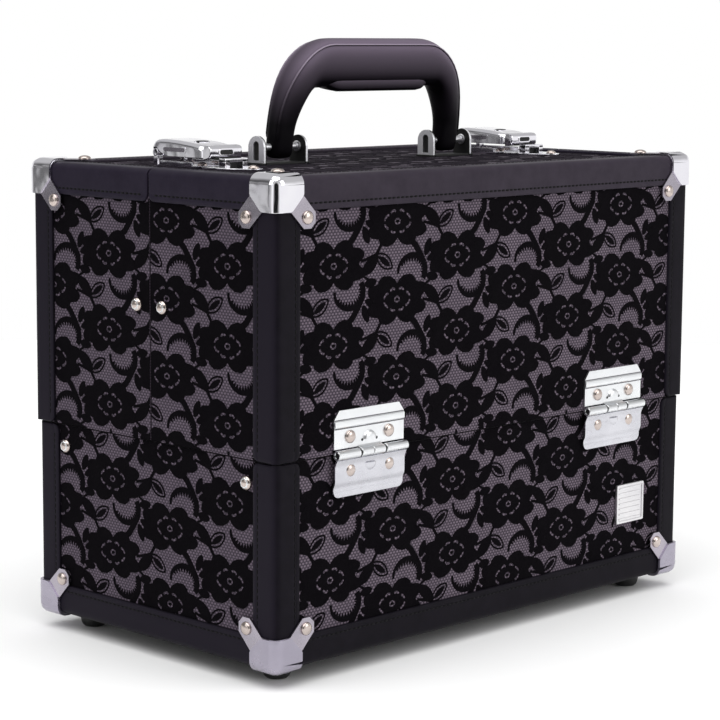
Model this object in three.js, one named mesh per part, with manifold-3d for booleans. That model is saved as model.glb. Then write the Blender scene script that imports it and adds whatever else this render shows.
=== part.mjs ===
// A makeup train case: a base box, two lid halves that swing out on side hinges, four cantilever
// trays on link bars, a folding carry handle and two snap latches.
// Millimetres. +X runs along the case, the front faces -Y, +Z is up, and z = 0 is the foot bottoms.
import * as THREE from "three";
import { mergeVertices } from "three/addons/utils/BufferGeometryUtils.js";
import { RoundedBoxGeometry } from "three/addons/geometries/RoundedBoxGeometry.js";
import Module from "manifold-3d";

// Driving dimensions of the case.
const LID_LENGTH = 336;
const LID_DEPTH = 193;
const BASE_LENGTH = 333;
const BASE_DEPTH = 190;
const FOOT_HEIGHT = 9.5;
const BODY_HEIGHT = 250;
const SPLIT_HEIGHT = 107;
const SPLIT_GAP = 1;
const MIDDLE_GAP = 1.2;

// Walls: hard panels covered in fabric, and a leather binding that wraps their outer edges.
const PANEL = 5;
const BINDING = 1.3;
const GAP = 0.3;
const BEYOND = 50;
const INSET = BINDING + GAP;
const EDGE_RADIUS = 4;
const STRIP_WIDTH = 17;
const EDGE_STEPS = 2;

// Metal corner caps: a block round the corner and a tab to each rivet.
const CAP_SHEET = 0.8;
const CAP_BLOCK = 17.5;
const CAP_NOTCH = 9.2;
const CAP_REACH = 26;
const CAP_TAB = 18;
const CAP_CLIP = 3;
const CAP_FOLD = 5;
const CAP_RIVET = 20.4;
const CAP_FOOT_FOLD = 12.5;
const RIVET_RADIUS = 3.7;
const RIVET_HEIGHT = 2;
const RIVET_SIDES = 8;
const RIVET_RIM = 0.5;
const RIVET_SHOULDER = [0.72, 0.85];
const LINK_RIVET_RADIUS = 3.6;

// Feet.
const FOOT_RADIUS = 7.7;
const FOOT_INSET = 21;
const FOOT_FLAT = 4.5;
const FOOT_TAPER = 0.8;
const FOOT_BANDS = [0.32, 0.7];

// Hinges between base and lids.
const HINGE_X = 101;
const HINGE_OUT = 1.3;
const LEAF_WIDTH = 51.4;
const LEAF_SHEET = 1;
const LEAF_DROP = 22.2;
const LEAF_RISE = 22.8;
const KNUCKLE_RADIUS = 2.5;
const KNUCKLE_MIDDLE = 17;
const KNUCKLE_GAP = 0.4;
const HINGE_PIN = 1.3;
const HINGE_BORE = 1.7;
const LEAF_RIVET_X = 14.3;
const LEAF_RIVET_Z = 8.7;
const LEAF_RIVET_RADIUS = 3.4;
const LEAF_CLIP = 5;
const LEAF_CLEARANCE = 0.7;

// Cantilever trays and their link bars.
const TRAY_HALF_LENGTH = 155.5;
const TRAY_WALL = 2;
const TRAY_FRONT = -82.4;
const TRAY_BACK = -2.2;
const LOWER_TRAY = [9.8, 32];
const UPPER_TRAY = [35, 63];
const TRAY_CORNER = 4;
const BASE_PIVOT = [-72.5, -12];
const LID_PIVOT = [-10, 71.6];
const FIRST_REACH = 42;
const SECOND_REACH = 85;
const LINK_HALF_WIDTH = 4;
const LINK_INNER = 156.5;
const LINK_OUTER = 158.5;
const PIN_RADIUS = 2;
const PIN_BORE = 2.4;
const PIN_END = 153.2;
const BORE_END = 152.8;

// Carry handle and its two clevis brackets, on the rear lid beside the middle gap.
const HANDLE_Y = 7.25;
const HANDLE_X = 67.75;
const HANDLE_PIVOT = 8;
const HANDLE_LEAN = 7.2;
const HANDLE_HALF_WIDTH = 73.2;
const HANDLE_TOP = 66.2;
const HANDLE_INNER = 60;
const HANDLE_UNDERSIDE = 39;
const HANDLE_OUTER_CORNER = [37.5, 47.5];
const HANDLE_INNER_CORNER = [12, 27];
const HANDLE_LEG_DEPTH = 13;
const GRIP_DEPTH = 20;
const GRIP_FROM = 30;
const GRIP_BEVEL = 5;
const EAR_INSIDE = 14.6;
const EAR_SHEET = 2;
const EAR_HEIGHT = 14.25;
const EAR_DEPTH = 12.5;
const BRACKET_HALF_LENGTH = 19;

// Snap latches that bridge the middle gap.
const LATCH_X = 121;
const LATCH_HALF_WIDTH = 12;
const LATCH_PIVOT = [35, 6];
const LATCH_TOP = 12;
const LATCH_SHEET = 1.2;
const HOOK_PIVOT = [-4.6, 9.4];
const LATCH_KNUCKLE_END = 10.4;
const LATCH_PIN = 1.1;
const LATCH_BORE = 1.5;
const LATCH_RIVETS = [10, 24];
const LATCH_RIVET_RADIUS = 2.6;
const LEVER_FRONT = -3.2;
const LEVER_SKIRT = 5;
const KEEPER_TAIL = -35;
const KEEPER_SHOULDER = -18;
const KEEPER_FRONT = -3;
const KEEPER_TIP = 5;
const KEEPER_RIVET_RADIUS = 2.8;

// Front badge plate.
const BADGE_CENTRE = [121, 47.7];
const BADGE_SIZE = [25, 23];
const BADGE_SHEET = 1.5;

const SPLIT = FOOT_HEIGHT + SPLIT_HEIGHT;
const TOP = FOOT_HEIGHT + BODY_HEIGHT;
const PLATE = TOP - INSET;
const HINGE_Y = -(LID_DEPTH / 2 + HINGE_OUT);
const FAR = 400;

const wasm = await Module();
wasm.setup();

function solidOf(geometry) {
  const plain = geometry.clone();
  plain.deleteAttribute("normal");
  plain.deleteAttribute("uv");
  const merged = mergeVertices(plain, 1e-4);
  return new wasm.Manifold(new wasm.Mesh({
    numProp: 3,
    vertProperties: new Float32Array(merged.attributes.position.array),
    triVerts: new Uint32Array(merged.index.array),
  }));
}

function geometryOf(solid) {
  const mesh = solid.getMesh();
  const geometry = new THREE.BufferGeometry();
  geometry.setAttribute("position", new THREE.BufferAttribute(mesh.vertProperties, 3));
  geometry.setIndex(new THREE.BufferAttribute(mesh.triVerts, 1));
  const flat = geometry.toNonIndexed();
  flat.computeVertexNormals();
  return flat;
}

const join = (first, ...rest) => rest.reduce((sum, piece) => sum.add(piece), first);
const cut = (first, ...rest) => rest.reduce((left, piece) => left.subtract(piece), first);

function box([x0, x1], [y0, y1], [z0, z1]) {
  const shape = new THREE.BoxGeometry(x1 - x0, y1 - y0, z1 - z0);
  return solidOf(shape.translate((x0 + x1) / 2, (y0 + y1) / 2, (z0 + z1) / 2));
}

// Each extrusion axis with the world directions of its section's two coordinates.
const AXES = {
  x: [new THREE.Vector3(0, 1, 0), new THREE.Vector3(0, 0, 1), new THREE.Vector3(1, 0, 0)],
  y: [new THREE.Vector3(1, 0, 0), new THREE.Vector3(0, 0, 1), new THREE.Vector3(0, -1, 0)],
  z: [new THREE.Vector3(1, 0, 0), new THREE.Vector3(0, 1, 0), new THREE.Vector3(0, 0, 1)],
};

// A section drawn in the two coordinates across an axis, extruded along that axis.
function prism(axis, section, [from, to], options = {}) {
  const [u, v, w] = AXES[axis];
  const shape = section instanceof THREE.Shape ? section
    : new THREE.Shape(section.map(([a, b]) => new THREE.Vector2(a, b)));
  const bevel = options.bevelEnabled ? options.bevelThickness : 0;
  const geometry = new THREE.ExtrudeGeometry(shape, {
    depth: to - from - 2 * bevel, bevelEnabled: false, curveSegments: 5, ...options,
  });
  geometry.translate(0, 0, bevel + (axis === "y" ? -to : from));
  return solidOf(geometry.applyMatrix4(new THREE.Matrix4().makeBasis(u, v, w)));
}

function rod(axis, [a, b], radius, span, sides = 10) {
  const section = Array.from({ length: sides }, (_, i) => {
    const turn = ((i + 0.5) / sides) * 2 * Math.PI;
    return [a + radius * Math.cos(turn), b + radius * Math.sin(turn)];
  });
  return prism(axis, section, span);
}

// A domed rivet head standing on a face: place is a point on it, normal points out of it.
function rivet(place, normal, radius = RIVET_RADIUS) {
  const [narrow, high] = RIVET_SHOULDER;
  const profile = [
    [0, -RIVET_RIM], [radius, -RIVET_RIM], [radius, RIVET_RIM], [radius * narrow, RIVET_HEIGHT * high],
    [0, RIVET_HEIGHT],
  ];
  const head = new THREE.LatheGeometry(profile.map(([r, h]) => new THREE.Vector2(r, h)), RIVET_SIDES);
  const turn = new THREE.Quaternion().setFromUnitVectors(
    new THREE.Vector3(0, 1, 0), new THREE.Vector3(...normal));
  return solidOf(head.applyQuaternion(turn).translate(...place));
}

function roundedBlock(length, depth, [low, high], radius) {
  const block = new RoundedBoxGeometry(length, depth, high - low, EDGE_STEPS, radius);
  return solidOf(block.translate(0, 0, (low + high) / 2));
}

const material = (color, roughness, metalness) =>
  new THREE.MeshStandardMaterial({ color, roughness, metalness });
const LACE = material(0x3a333b, 0.85, 0);
const LEATHER = material(0x26232a, 0.45, 0);
const CHROME = material(0xdfe2e8, 0.12, 1);
const SATIN = material(0xb9b6c4, 0.38, 1);
const STEEL = material(0xc9ccd2, 0.3, 1);
const RUBBER = material(0x121214, 0.8, 0);
const TRAY = material(0x1b1b1e, 0.6, 0);

const root = new THREE.Group();

function place(group, name, solid, finish) {
  const mesh = new THREE.Mesh(geometryOf(solid), finish.clone());
  mesh.name = name;
  group.add(mesh);
  return mesh;
}

// ---- Panels and bindings -------------------------------------------------------------------------

// The end panels run the full depth, the long panels fit between them.
function endPanel(core, length, side, depthSpan, heightSpan) {
  const outside = length / 2 - INSET;
  const span = side < 0 ? [-outside, -outside + PANEL] : [outside - PANEL, outside];
  return core.intersect(box(span, depthSpan, heightSpan));
}

const betweenEnds = (length) => {
  const inside = length / 2 - INSET - PANEL - GAP;
  return [-inside, inside];
};

function baseParts() {
  const group = new THREE.Group();
  const low = FOOT_HEIGHT + INSET;
  const high = SPLIT - SPLIT_GAP / 2;
  const core = roundedBlock(BASE_LENGTH - 2 * INSET, BASE_DEPTH - 2 * INSET, [low, SPLIT + BEYOND],
    EDGE_RADIUS - INSET);
  const face = BASE_DEPTH / 2 - INSET;
  const walls = [low, high];
  const pivot = [BASE_PIVOT[0], SPLIT + BASE_PIVOT[1]];
  for (const [name, side] of [["left", -1], ["right", 1]]) {
    const across = [-FAR, FAR];
    const holes = [1, -1].map((end) => rod("x", [end * pivot[0], pivot[1]], PIN_BORE, across));
    place(group, `base_${name}_panel`,
      cut(endPanel(core, BASE_LENGTH, side, [-face, face], walls), ...holes), LACE);
  }
  for (const [name, side] of [["front", -1], ["rear", 1]]) {
    const span = side < 0 ? [-face, -face + PANEL] : [face - PANEL, face];
    place(group, `base_${name}_panel`,
      core.intersect(box(betweenEnds(BASE_LENGTH), span, walls)), LACE);
  }
  const inner = face - PANEL - GAP;
  place(group, "base_floor", box(betweenEnds(BASE_LENGTH), [-inner, inner], [low, low + PANEL]), LACE);

  const shell = cut(
    roundedBlock(BASE_LENGTH, BASE_DEPTH, [FOOT_HEIGHT, SPLIT + BEYOND], EDGE_RADIUS),
    roundedBlock(BASE_LENGTH - 2 * BINDING, BASE_DEPTH - 2 * BINDING,
      [FOOT_HEIGHT + BINDING, SPLIT + BEYOND - BINDING], EDGE_RADIUS - BINDING),
  ).intersect(box([-FAR, FAR], [-FAR, FAR], [0, high]));
  const along = BASE_LENGTH / 2 - STRIP_WIDTH;
  const across = BASE_DEPTH / 2 - STRIP_WIDTH;
  const above = FOOT_HEIGHT + STRIP_WIDTH;
  place(group, "base_edge_binding", cut(shell,
    box([-along, along], [-FAR, FAR], [above, FAR]),
    box([-FAR, FAR], [-across, across], [above, FAR]),
    box([-along, along], [-across, across], [-FAR, FAR])), LEATHER);
  return group;
}

// One lid half, drawn as the front one: its outer face looks towards -Y.
function lidParts(name) {
  const group = new THREE.Group();
  const low = SPLIT + SPLIT_GAP / 2;
  const high = TOP - INSET;
  const core = roundedBlock(LID_LENGTH - 2 * INSET, LID_DEPTH - 2 * INSET, [SPLIT - BEYOND, high],
    EDGE_RADIUS - INSET);
  const face = -LID_DEPTH / 2 + INSET;
  const middle = -MIDDLE_GAP / 2;
  const across = [-FAR, FAR];
  for (const [end, side] of [["left", -1], ["right", 1]]) {
    const hole = rod("x", [LID_PIVOT[0], SPLIT + LID_PIVOT[1]], PIN_BORE, across);
    place(group, `${name}_lid_${end}_panel`,
      cut(endPanel(core, LID_LENGTH, side, [face, middle], [low, high]), hole), LACE);
  }
  place(group, `${name}_lid_face_panel`,
    core.intersect(box(betweenEnds(LID_LENGTH), [face, face + PANEL], [low, high])), LACE);
  place(group, `${name}_lid_top_panel`,
    box(betweenEnds(LID_LENGTH), [face + PANEL + GAP, middle], [high - PANEL, high]), LACE);

  const shell = cut(
    roundedBlock(LID_LENGTH, LID_DEPTH, [SPLIT - BEYOND, TOP], EDGE_RADIUS),
    roundedBlock(LID_LENGTH - 2 * BINDING, LID_DEPTH - 2 * BINDING,
      [SPLIT - BEYOND + BINDING, TOP - BINDING], EDGE_RADIUS - BINDING),
  ).intersect(box(across, [-FAR, middle], [low, FAR]));
  const along = LID_LENGTH / 2 - STRIP_WIDTH;
  const inward = -LID_DEPTH / 2 + STRIP_WIDTH;
  const under = TOP - STRIP_WIDTH;
  place(group, `${name}_lid_edge_binding`, cut(shell,
    box([-along, along], [-FAR, FAR], [0, under]),
    box([-FAR, FAR], [inward, FAR], [0, under]),
    box([-along, along], [inward, FAR], [0, FAR])), LEATHER);
  return group;
}

// ---- Corner caps, feet and badge -----------------------------------------------------------------

// The cap's outline on one face, measured in from the corner's two edges.
const TAB_OUTLINE = [
  [-CAP_FOLD, -CAP_FOLD], [CAP_BLOCK, -CAP_FOLD], [CAP_BLOCK, CAP_NOTCH], [CAP_REACH, CAP_TAB],
  [CAP_REACH, CAP_REACH - CAP_CLIP], [CAP_REACH - CAP_CLIP, CAP_REACH], [CAP_TAB, CAP_REACH],
  [CAP_NOTCH, CAP_BLOCK], [-CAP_FOLD, CAP_BLOCK],
];
const FOOT_OUTLINE = [
  [-CAP_FOLD, -CAP_FOLD], [CAP_FOOT_FOLD, -CAP_FOLD], [CAP_FOOT_FOLD, CAP_FOOT_FOLD],
  [-CAP_FOLD, CAP_FOOT_FOLD],
];

// A cap on the corner at the low ends of X and Y of a block; upright is 1 at the top, -1 at the foot.
function cornerCap(length, depth, level, upright) {
  const reach = level - upright * FAR / 2;
  const span = (offset) => [level + upright * offset, reach].sort((a, b) => a - b);
  const lift = GAP + CAP_SHEET;
  const sheet = cut(
    roundedBlock(length + 2 * lift, depth + 2 * lift, span(lift), EDGE_RADIUS + lift),
    roundedBlock(length + 2 * GAP, depth + 2 * GAP, span(GAP), EDGE_RADIUS + GAP));
  const [left, front] = [-length / 2, -depth / 2];
  const onFront = TAB_OUTLINE.map(([a, b]) => [left + a, level - upright * b]);
  const onEnd = TAB_OUTLINE.map(([a, b]) => [front + a, level - upright * b]);
  const flat = upright > 0 ? TAB_OUTLINE : FOOT_OUTLINE;
  const onLevel = flat.map(([a, b]) => [left + a, front + b]);
  const wind = (points) => (THREE.ShapeUtils.area(
    points.map(([a, b]) => new THREE.Vector2(a, b))) < 0 ? points.slice().reverse() : points);
  const levelSpan = [level - upright * CAP_FOLD, level + upright * CAP_FOLD].sort((a, b) => a - b);
  const area = join(
    prism("y", wind(onFront), [front - CAP_FOLD, front + CAP_FOLD]),
    prism("x", wind(onEnd), [left - CAP_FOLD, left + CAP_FOLD]),
    prism("z", wind(onLevel), levelSpan));
  const up = level - upright * CAP_RIVET;
  const heads = [
    rivet([left + CAP_RIVET, front - lift, up], [0, -1, 0]),
    rivet([left - lift, front + CAP_RIVET, up], [-1, 0, 0]),
  ];
  if (upright > 0) {
    heads.push(rivet([left + CAP_RIVET, front + CAP_RIVET, level + lift], [0, 0, 1]));
  }
  return join(sheet.intersect(area), ...heads);
}

function foot() {
  const points = [
    [0, 0], [FOOT_FLAT, 0], [FOOT_RADIUS - FOOT_TAPER, FOOT_HEIGHT * FOOT_BANDS[0]],
    [FOOT_RADIUS, FOOT_HEIGHT * FOOT_BANDS[1]], [FOOT_RADIUS, FOOT_HEIGHT - GAP], [0, FOOT_HEIGHT - GAP],
  ];
  const turned = new THREE.LatheGeometry(points.map(([r, h]) => new THREE.Vector2(r, h)), 16);
  return solidOf(turned.rotateX(Math.PI / 2));
}

function trimParts() {
  const group = new THREE.Group();
  const bottomCap = cornerCap(BASE_LENGTH, BASE_DEPTH, FOOT_HEIGHT, -1);
  const rubberFoot = foot();
  for (const [end, x] of [["left", 1], ["right", -1]]) {
    for (const [side, y] of [["front", 1], ["rear", -1]]) {
      place(group, `bottom_corner_cap_${side}_${end}`, bottomCap, SATIN).scale.set(x, y, 1);
      const pad = place(group, `foot_${side}_${end}`, rubberFoot, RUBBER);
      pad.position.set(-x * (BASE_LENGTH / 2 - FOOT_INSET), -y * (BASE_DEPTH / 2 - FOOT_INSET), 0);
    }
  }
  const [width, height] = BADGE_SIZE;
  const face = -BASE_DEPTH / 2 + INSET - GAP;
  const plate = box([-width / 2, width / 2], [-BADGE_SHEET, 0], [-height / 2, height / 2]);
  place(group, "badge_plate", plate, SATIN)
    .position.set(BADGE_CENTRE[0], face, FOOT_HEIGHT + BADGE_CENTRE[1]);
  return group;
}

function lidCaps(name) {
  const group = new THREE.Group();
  const cap = cornerCap(LID_LENGTH, LID_DEPTH, TOP, 1);
  for (const [end, x] of [["left", 1], ["right", -1]]) {
    place(group, `top_corner_cap_${name}_${end}`, cap, CHROME).scale.set(x, 1, 1);
  }
  return group;
}

// ---- Hinges, drawn as the front ones about their own pin: z = 0 is the pin's height --------------

const LEAF_HALF = LEAF_WIDTH / 2;
const LEAF_BACK = -LID_DEPTH / 2 + INSET - GAP - HINGE_Y;
const LEAF_FACE = LEAF_BACK - LEAF_SHEET;
const LEAF_STEP = [17, 14.5];
const LEAF_FLARE = [4.6, 6.2, 1];
const LEAF_RIB = 0.8;
const LEAF_RIB_SPAN = [13.7, 17.5];
const MIDDLE_HALF = KNUCKLE_MIDDLE / 2;

function leafRivets(face, height) {
  return [-LEAF_RIVET_X, LEAF_RIVET_X].map((x) => rivet([x, face, height], [0, -1, 0], LEAF_RIVET_RADIUS));
}

// The lower leaf lies on the base, then steps out to the upper leaf's plane under the knuckles.
function lowerLeaf() {
  const foot = -BASE_DEPTH / 2 + INSET - GAP - HINGE_Y;
  const profile = [
    [foot, -LEAF_DROP], [foot, -LEAF_STEP[0]], [LEAF_BACK, -LEAF_STEP[1]], [LEAF_BACK, -LEAF_FLARE[0]],
    [LEAF_FLARE[2], -LEAF_FLARE[2]], [-LEAF_FLARE[2], -LEAF_FLARE[2]], [LEAF_FACE, -LEAF_FLARE[1]],
    [LEAF_FACE, -LEAF_STEP[1]], [foot - LEAF_SHEET, -LEAF_STEP[0]], [foot - LEAF_SHEET, -LEAF_DROP],
  ];
  const knuckles = [-1, 1].map((side) => rod("x", [0, 0], KNUCKLE_RADIUS,
    [side * LEAF_HALF, side * (MIDDLE_HALF + KNUCKLE_GAP)].sort((a, b) => a - b)));
  const clearance = box([-MIDDLE_HALF - KNUCKLE_GAP, MIDDLE_HALF + KNUCKLE_GAP], [-FAR, FAR],
    [-KNUCKLE_RADIUS - KNUCKLE_GAP, KNUCKLE_RADIUS]);
  const web = cut(prism("x", profile, [-LEAF_HALF, LEAF_HALF]), clearance);
  const pin = rod("x", [0, 0], HINGE_PIN, [-LEAF_HALF + 1, LEAF_HALF - 1], 8);
  return join(web, ...knuckles, pin, ...leafRivets(LEAF_FACE, -LEAF_RIVET_Z));
}

function upperLeaf() {
  const edge = KNUCKLE_RADIUS + LEAF_CLEARANCE;
  const outline = [
    [-LEAF_HALF, edge], [LEAF_HALF, edge], [LEAF_HALF, LEAF_RISE - LEAF_CLIP],
    [LEAF_HALF - LEAF_CLIP, LEAF_RISE], [-LEAF_HALF + LEAF_CLIP, LEAF_RISE],
    [-LEAF_HALF, LEAF_RISE - LEAF_CLIP],
  ];
  const plate = prism("y", outline, [LEAF_FACE, LEAF_BACK]);
  const neck = [
    [0, 0], [LEAF_BACK, KNUCKLE_RADIUS], [LEAF_BACK, edge + 1], [LEAF_FACE, edge + 1],
    [0, KNUCKLE_RADIUS],
  ];
  const tongue = prism("x", neck, [-MIDDLE_HALF, MIDDLE_HALF]);
  const rib = box([-LEAF_HALF, LEAF_HALF], [LEAF_FACE - LEAF_RIB, LEAF_FACE + 0.1], LEAF_RIB_SPAN);
  const knuckle = rod("x", [0, 0], KNUCKLE_RADIUS, [-MIDDLE_HALF, MIDDLE_HALF]);
  const bore = rod("x", [0, 0], HINGE_BORE, [-LEAF_HALF, LEAF_HALF], 8);
  return join(cut(join(plate, tongue, knuckle), bore), rib, ...leafRivets(LEAF_FACE, LEAF_RIVET_Z));
}

function hingeLeaves(name, position, solid) {
  const group = new THREE.Group();
  for (const [end, x] of [["left", -HINGE_X], ["right", HINGE_X]]) {
    place(group, `${position}_hinge_leaf_${name}_${end}`, solid, STEEL).position.set(x, HINGE_Y, SPLIT);
  }
  return group;
}

// ---- Cantilever trays and links, drawn for the front half ----------------------------------------

const hingePoint = new THREE.Vector2(HINGE_Y, SPLIT);
const basePivot = new THREE.Vector2(BASE_PIVOT[0], SPLIT + BASE_PIVOT[1]);
const lidPivot = new THREE.Vector2(LID_PIVOT[0], SPLIT + LID_PIVOT[1]);
const linkDirection = lidPivot.clone().sub(hingePoint).normalize();
const alongLink = (from, reach) => from.clone().addScaledVector(linkDirection, reach);
const INNER_PINS = [FIRST_REACH, SECOND_REACH].map((reach) => alongLink(basePivot, reach));
const OUTER_PINS = [FIRST_REACH, SECOND_REACH].map((reach) => alongLink(hingePoint, reach));

function tray([low, high], pins) {
  const outline = (margin) => {
    const corner = TRAY_CORNER - margin;
    const [x, y0, y1] = [TRAY_HALF_LENGTH - margin, TRAY_FRONT + margin, TRAY_BACK - margin];
    const shape = new THREE.Shape();
    shape.moveTo(-x + corner, y0);
    shape.lineTo(x - corner, y0);
    shape.absarc(x - corner, y0 + corner, corner, -Math.PI / 2, 0);
    shape.absarc(x - corner, y1 - corner, corner, 0, Math.PI / 2);
    shape.absarc(-x + corner, y1 - corner, corner, Math.PI / 2, Math.PI);
    shape.absarc(-x + corner, y0 + corner, corner, Math.PI, 1.5 * Math.PI);
    return shape;
  };
  const [floor, rim] = [SPLIT + low, SPLIT + high];
  const options = { curveSegments: 3 };
  const body = cut(prism("z", outline(0), [floor, rim], options),
    prism("z", outline(TRAY_WALL), [floor + TRAY_WALL, rim + 1], options));
  const bores = pins.flatMap(({ x, y }) => [-1, 1].map((side) =>
    rod("x", [x, y], PIN_BORE, [side * BORE_END, side * LINK_OUTER].sort((a, b) => a - b))));
  return cut(body, ...bores);
}

// A link on the left end. Its rivet goes out through the end panel, its pins go in to the trays.
function link(anchor, pins, last, panelFace) {
  const plate = [-LINK_OUTER, -LINK_INNER];
  const ends = [anchor === basePivot ? basePivot : pins[0], last];
  const [start, stop] = ends;
  const side = new THREE.Vector2(-linkDirection.y, linkDirection.x).multiplyScalar(LINK_HALF_WIDTH);
  const strip = [
    start.clone().sub(side), stop.clone().sub(side), stop.clone().add(side), start.clone().add(side),
  ].map(({ x, y }) => [x, y]);
  const discs = ends.map(({ x, y }) => rod("x", [x, y], LINK_HALF_WIDTH, plate, 12));
  const trayPins = pins.map(({ x, y }) => rod("x", [x, y], PIN_RADIUS, [-LINK_INNER - 1, -PIN_END]));
  const shank = rod("x", [anchor.x, anchor.y], PIN_RADIUS, [-panelFace - 1, -LINK_INNER - 1]);
  const head = rivet([-panelFace - GAP - RIVET_RIM, anchor.x, anchor.y], [-1, 0, 0], LINK_RIVET_RADIUS);
  return join(prism("x", strip, plate), ...discs, ...trayPins, shank, head);
}

function trayParts(name) {
  const group = new THREE.Group();
  place(group, `${name}_lower_tray`, tray(LOWER_TRAY, [INNER_PINS[0], OUTER_PINS[0]]), TRAY);
  place(group, `${name}_upper_tray`, tray(UPPER_TRAY, [INNER_PINS[1], OUTER_PINS[1]]), TRAY);
  const inner = link(basePivot, INNER_PINS, INNER_PINS[1], BASE_LENGTH / 2 - INSET);
  const outer = link(lidPivot, OUTER_PINS, lidPivot, LID_LENGTH / 2 - INSET);
  for (const [end, x] of [["left", 1], ["right", -1]]) {
    place(group, `${name}_inner_link_${end}`, inner, STEEL).scale.set(x, 1, 1);
    place(group, `${name}_outer_link_${end}`, outer, STEEL).scale.set(x, 1, 1);
  }
  return group;
}

// ---- Carry handle --------------------------------------------------------------------------------

// The handle's outline seen from the front, from a given height up, with z = 0 at the lid's top edge.
function handleShape(from) {
  const [w, h, [a, b]] = [HANDLE_HALF_WIDTH, HANDLE_TOP, HANDLE_OUTER_CORNER];
  const [iw, ih, [ia, ib]] = [HANDLE_INNER, HANDLE_UNDERSIDE, HANDLE_INNER_CORNER];
  const shape = new THREE.Shape();
  shape.moveTo(-w, from);
  shape.lineTo(-iw, from);
  shape.lineTo(-iw, ih - ib);
  shape.absellipse(-iw + ia, ih - ib, ia, ib, Math.PI, Math.PI / 2, true);
  shape.absellipse(iw - ia, ih - ib, ia, ib, Math.PI / 2, 0, true);
  shape.lineTo(iw, from);
  shape.lineTo(w, from);
  shape.lineTo(w, h - b);
  shape.absellipse(w - a, h - b, a, b, 0, Math.PI / 2);
  shape.absellipse(-w + a, h - b, a, b, Math.PI / 2, Math.PI);
  shape.lineTo(-w, from);
  return shape;
}

// Upright it would stand over its pins; at rest it leans towards the front about them.
function carryHandle() {
  const half = HANDLE_LEG_DEPTH / 2;
  const legs = prism("y", handleShape(HANDLE_PIVOT), [-half, half]);
  const ends = [-1, 1].map((side) => rod("x", [0, HANDLE_PIVOT], half,
    [side * HANDLE_INNER, side * HANDLE_HALF_WIDTH].sort((a, b) => a - b), 16));
  const bevel = {
    bevelEnabled: true, bevelThickness: GRIP_BEVEL, bevelSize: GRIP_BEVEL, bevelOffset: -GRIP_BEVEL,
    bevelSegments: 1,
  };
  const grip = prism("y", handleShape(-HANDLE_TOP), [-GRIP_DEPTH / 2, GRIP_DEPTH / 2], bevel)
    .intersect(box([-FAR, FAR], [-FAR, FAR], [GRIP_FROM, FAR]));
  const bore = rod("x", [0, HANDLE_PIVOT], PIN_BORE, [-FAR, FAR]);
  return cut(join(legs, ...ends, grip), bore)
    .translate([0, 0, -HANDLE_PIVOT]).rotate([HANDLE_LEAN, 0, 0]).translate([0, 0, HANDLE_PIVOT]);
}

function handleBracket() {
  const half = EAR_DEPTH / 2;
  const foot = PLATE - TOP + GAP;
  const outer = EAR_INSIDE + EAR_SHEET;
  const ears = [[-outer, -EAR_INSIDE], [EAR_INSIDE, outer]].flatMap((span) => [
    box(span, [-half, half], [foot, EAR_HEIGHT - half]),
    rod("x", [0, EAR_HEIGHT - half], half, span, 16),
  ]);
  const plate = box([-BRACKET_HALF_LENGTH, BRACKET_HALF_LENGTH], [-half, half], [foot, foot + 1]);
  const pin = rod("x", [0, HANDLE_PIVOT], PIN_RADIUS, [-outer - 1, outer + 1]);
  return join(plate, ...ears, pin);
}

function handleParts() {
  const group = new THREE.Group();
  group.position.set(0, HANDLE_Y, TOP);
  place(group, "carry_handle", carryHandle(), LEATHER);
  const bracket = handleBracket();
  for (const [end, x] of [["left", -HANDLE_X], ["right", HANDLE_X]]) {
    place(group, `handle_bracket_${end}`, bracket, CHROME).position.x = x;
  }
  return group;
}

// ---- Latches, drawn about their own middle: y = 0 is the middle gap, z = 0 the lid's top edge ----

const LATCH_FOOT = PLATE - TOP + GAP;
const BARREL_HALF = 7.2;
const BARREL_RADIUS = 2.3;

function latchBase() {
  const [y, z] = LATCH_PIVOT;
  const plate = box([-LATCH_HALF_WIDTH, LATCH_HALF_WIDTH], [3, y + 1], [LATCH_FOOT, LATCH_FOOT + 1]);
  const inner = BARREL_HALF + GAP;
  const knuckles = [[-LATCH_KNUCKLE_END, -inner], [inner, LATCH_KNUCKLE_END]].flatMap((span) => [
    rod("x", [y, z], BARREL_RADIUS, span),
    box(span, [y - 1, y + 1], [LATCH_FOOT + 0.5, z]),
  ]);
  const pin = rod("x", [y, z], LATCH_PIN, [-LATCH_KNUCKLE_END + GAP, LATCH_KNUCKLE_END - GAP], 10);
  const heads = LATCH_RIVETS.map((at) => rivet([0, at, LATCH_FOOT + 1], [0, 0, 1], LATCH_RIVET_RADIUS));
  return join(plate, ...knuckles, pin, ...heads);
}

function latchLever() {
  const [y, z] = LATCH_PIVOT;
  const [back, front] = [y + BARREL_RADIUS, LEVER_FRONT];
  const side = [
    [back, LEVER_SKIRT], [back, LATCH_TOP - 2], [back - 2, LATCH_TOP], [front, LATCH_TOP - 1],
    [front, LEVER_SKIRT - 1], [y - LATCH_HALF_WIDTH, LEVER_SKIRT - 2],
  ];
  const block = prism("x", side.reverse(), [-LATCH_HALF_WIDTH, LATCH_HALF_WIDTH]);
  const inside = LATCH_HALF_WIDTH - LATCH_SHEET;
  const hollow = box([-inside, inside], [-FAR, FAR], [-LEVER_SKIRT, LATCH_TOP - 1 - 2 * LATCH_SHEET]);
  const web = box([-BARREL_HALF, BARREL_HALF], [y - LATCH_SHEET, y + LATCH_SHEET], [z, LATCH_TOP - 1.5]);
  const barrel = rod("x", [y, z], BARREL_RADIUS, [-BARREL_HALF, BARREL_HALF]);
  const bore = rod("x", [y, z], LATCH_BORE, [-BARREL_HALF - 1, BARREL_HALF + 1], 10);
  return cut(join(cut(block, hollow), web, barrel), bore);
}

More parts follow.
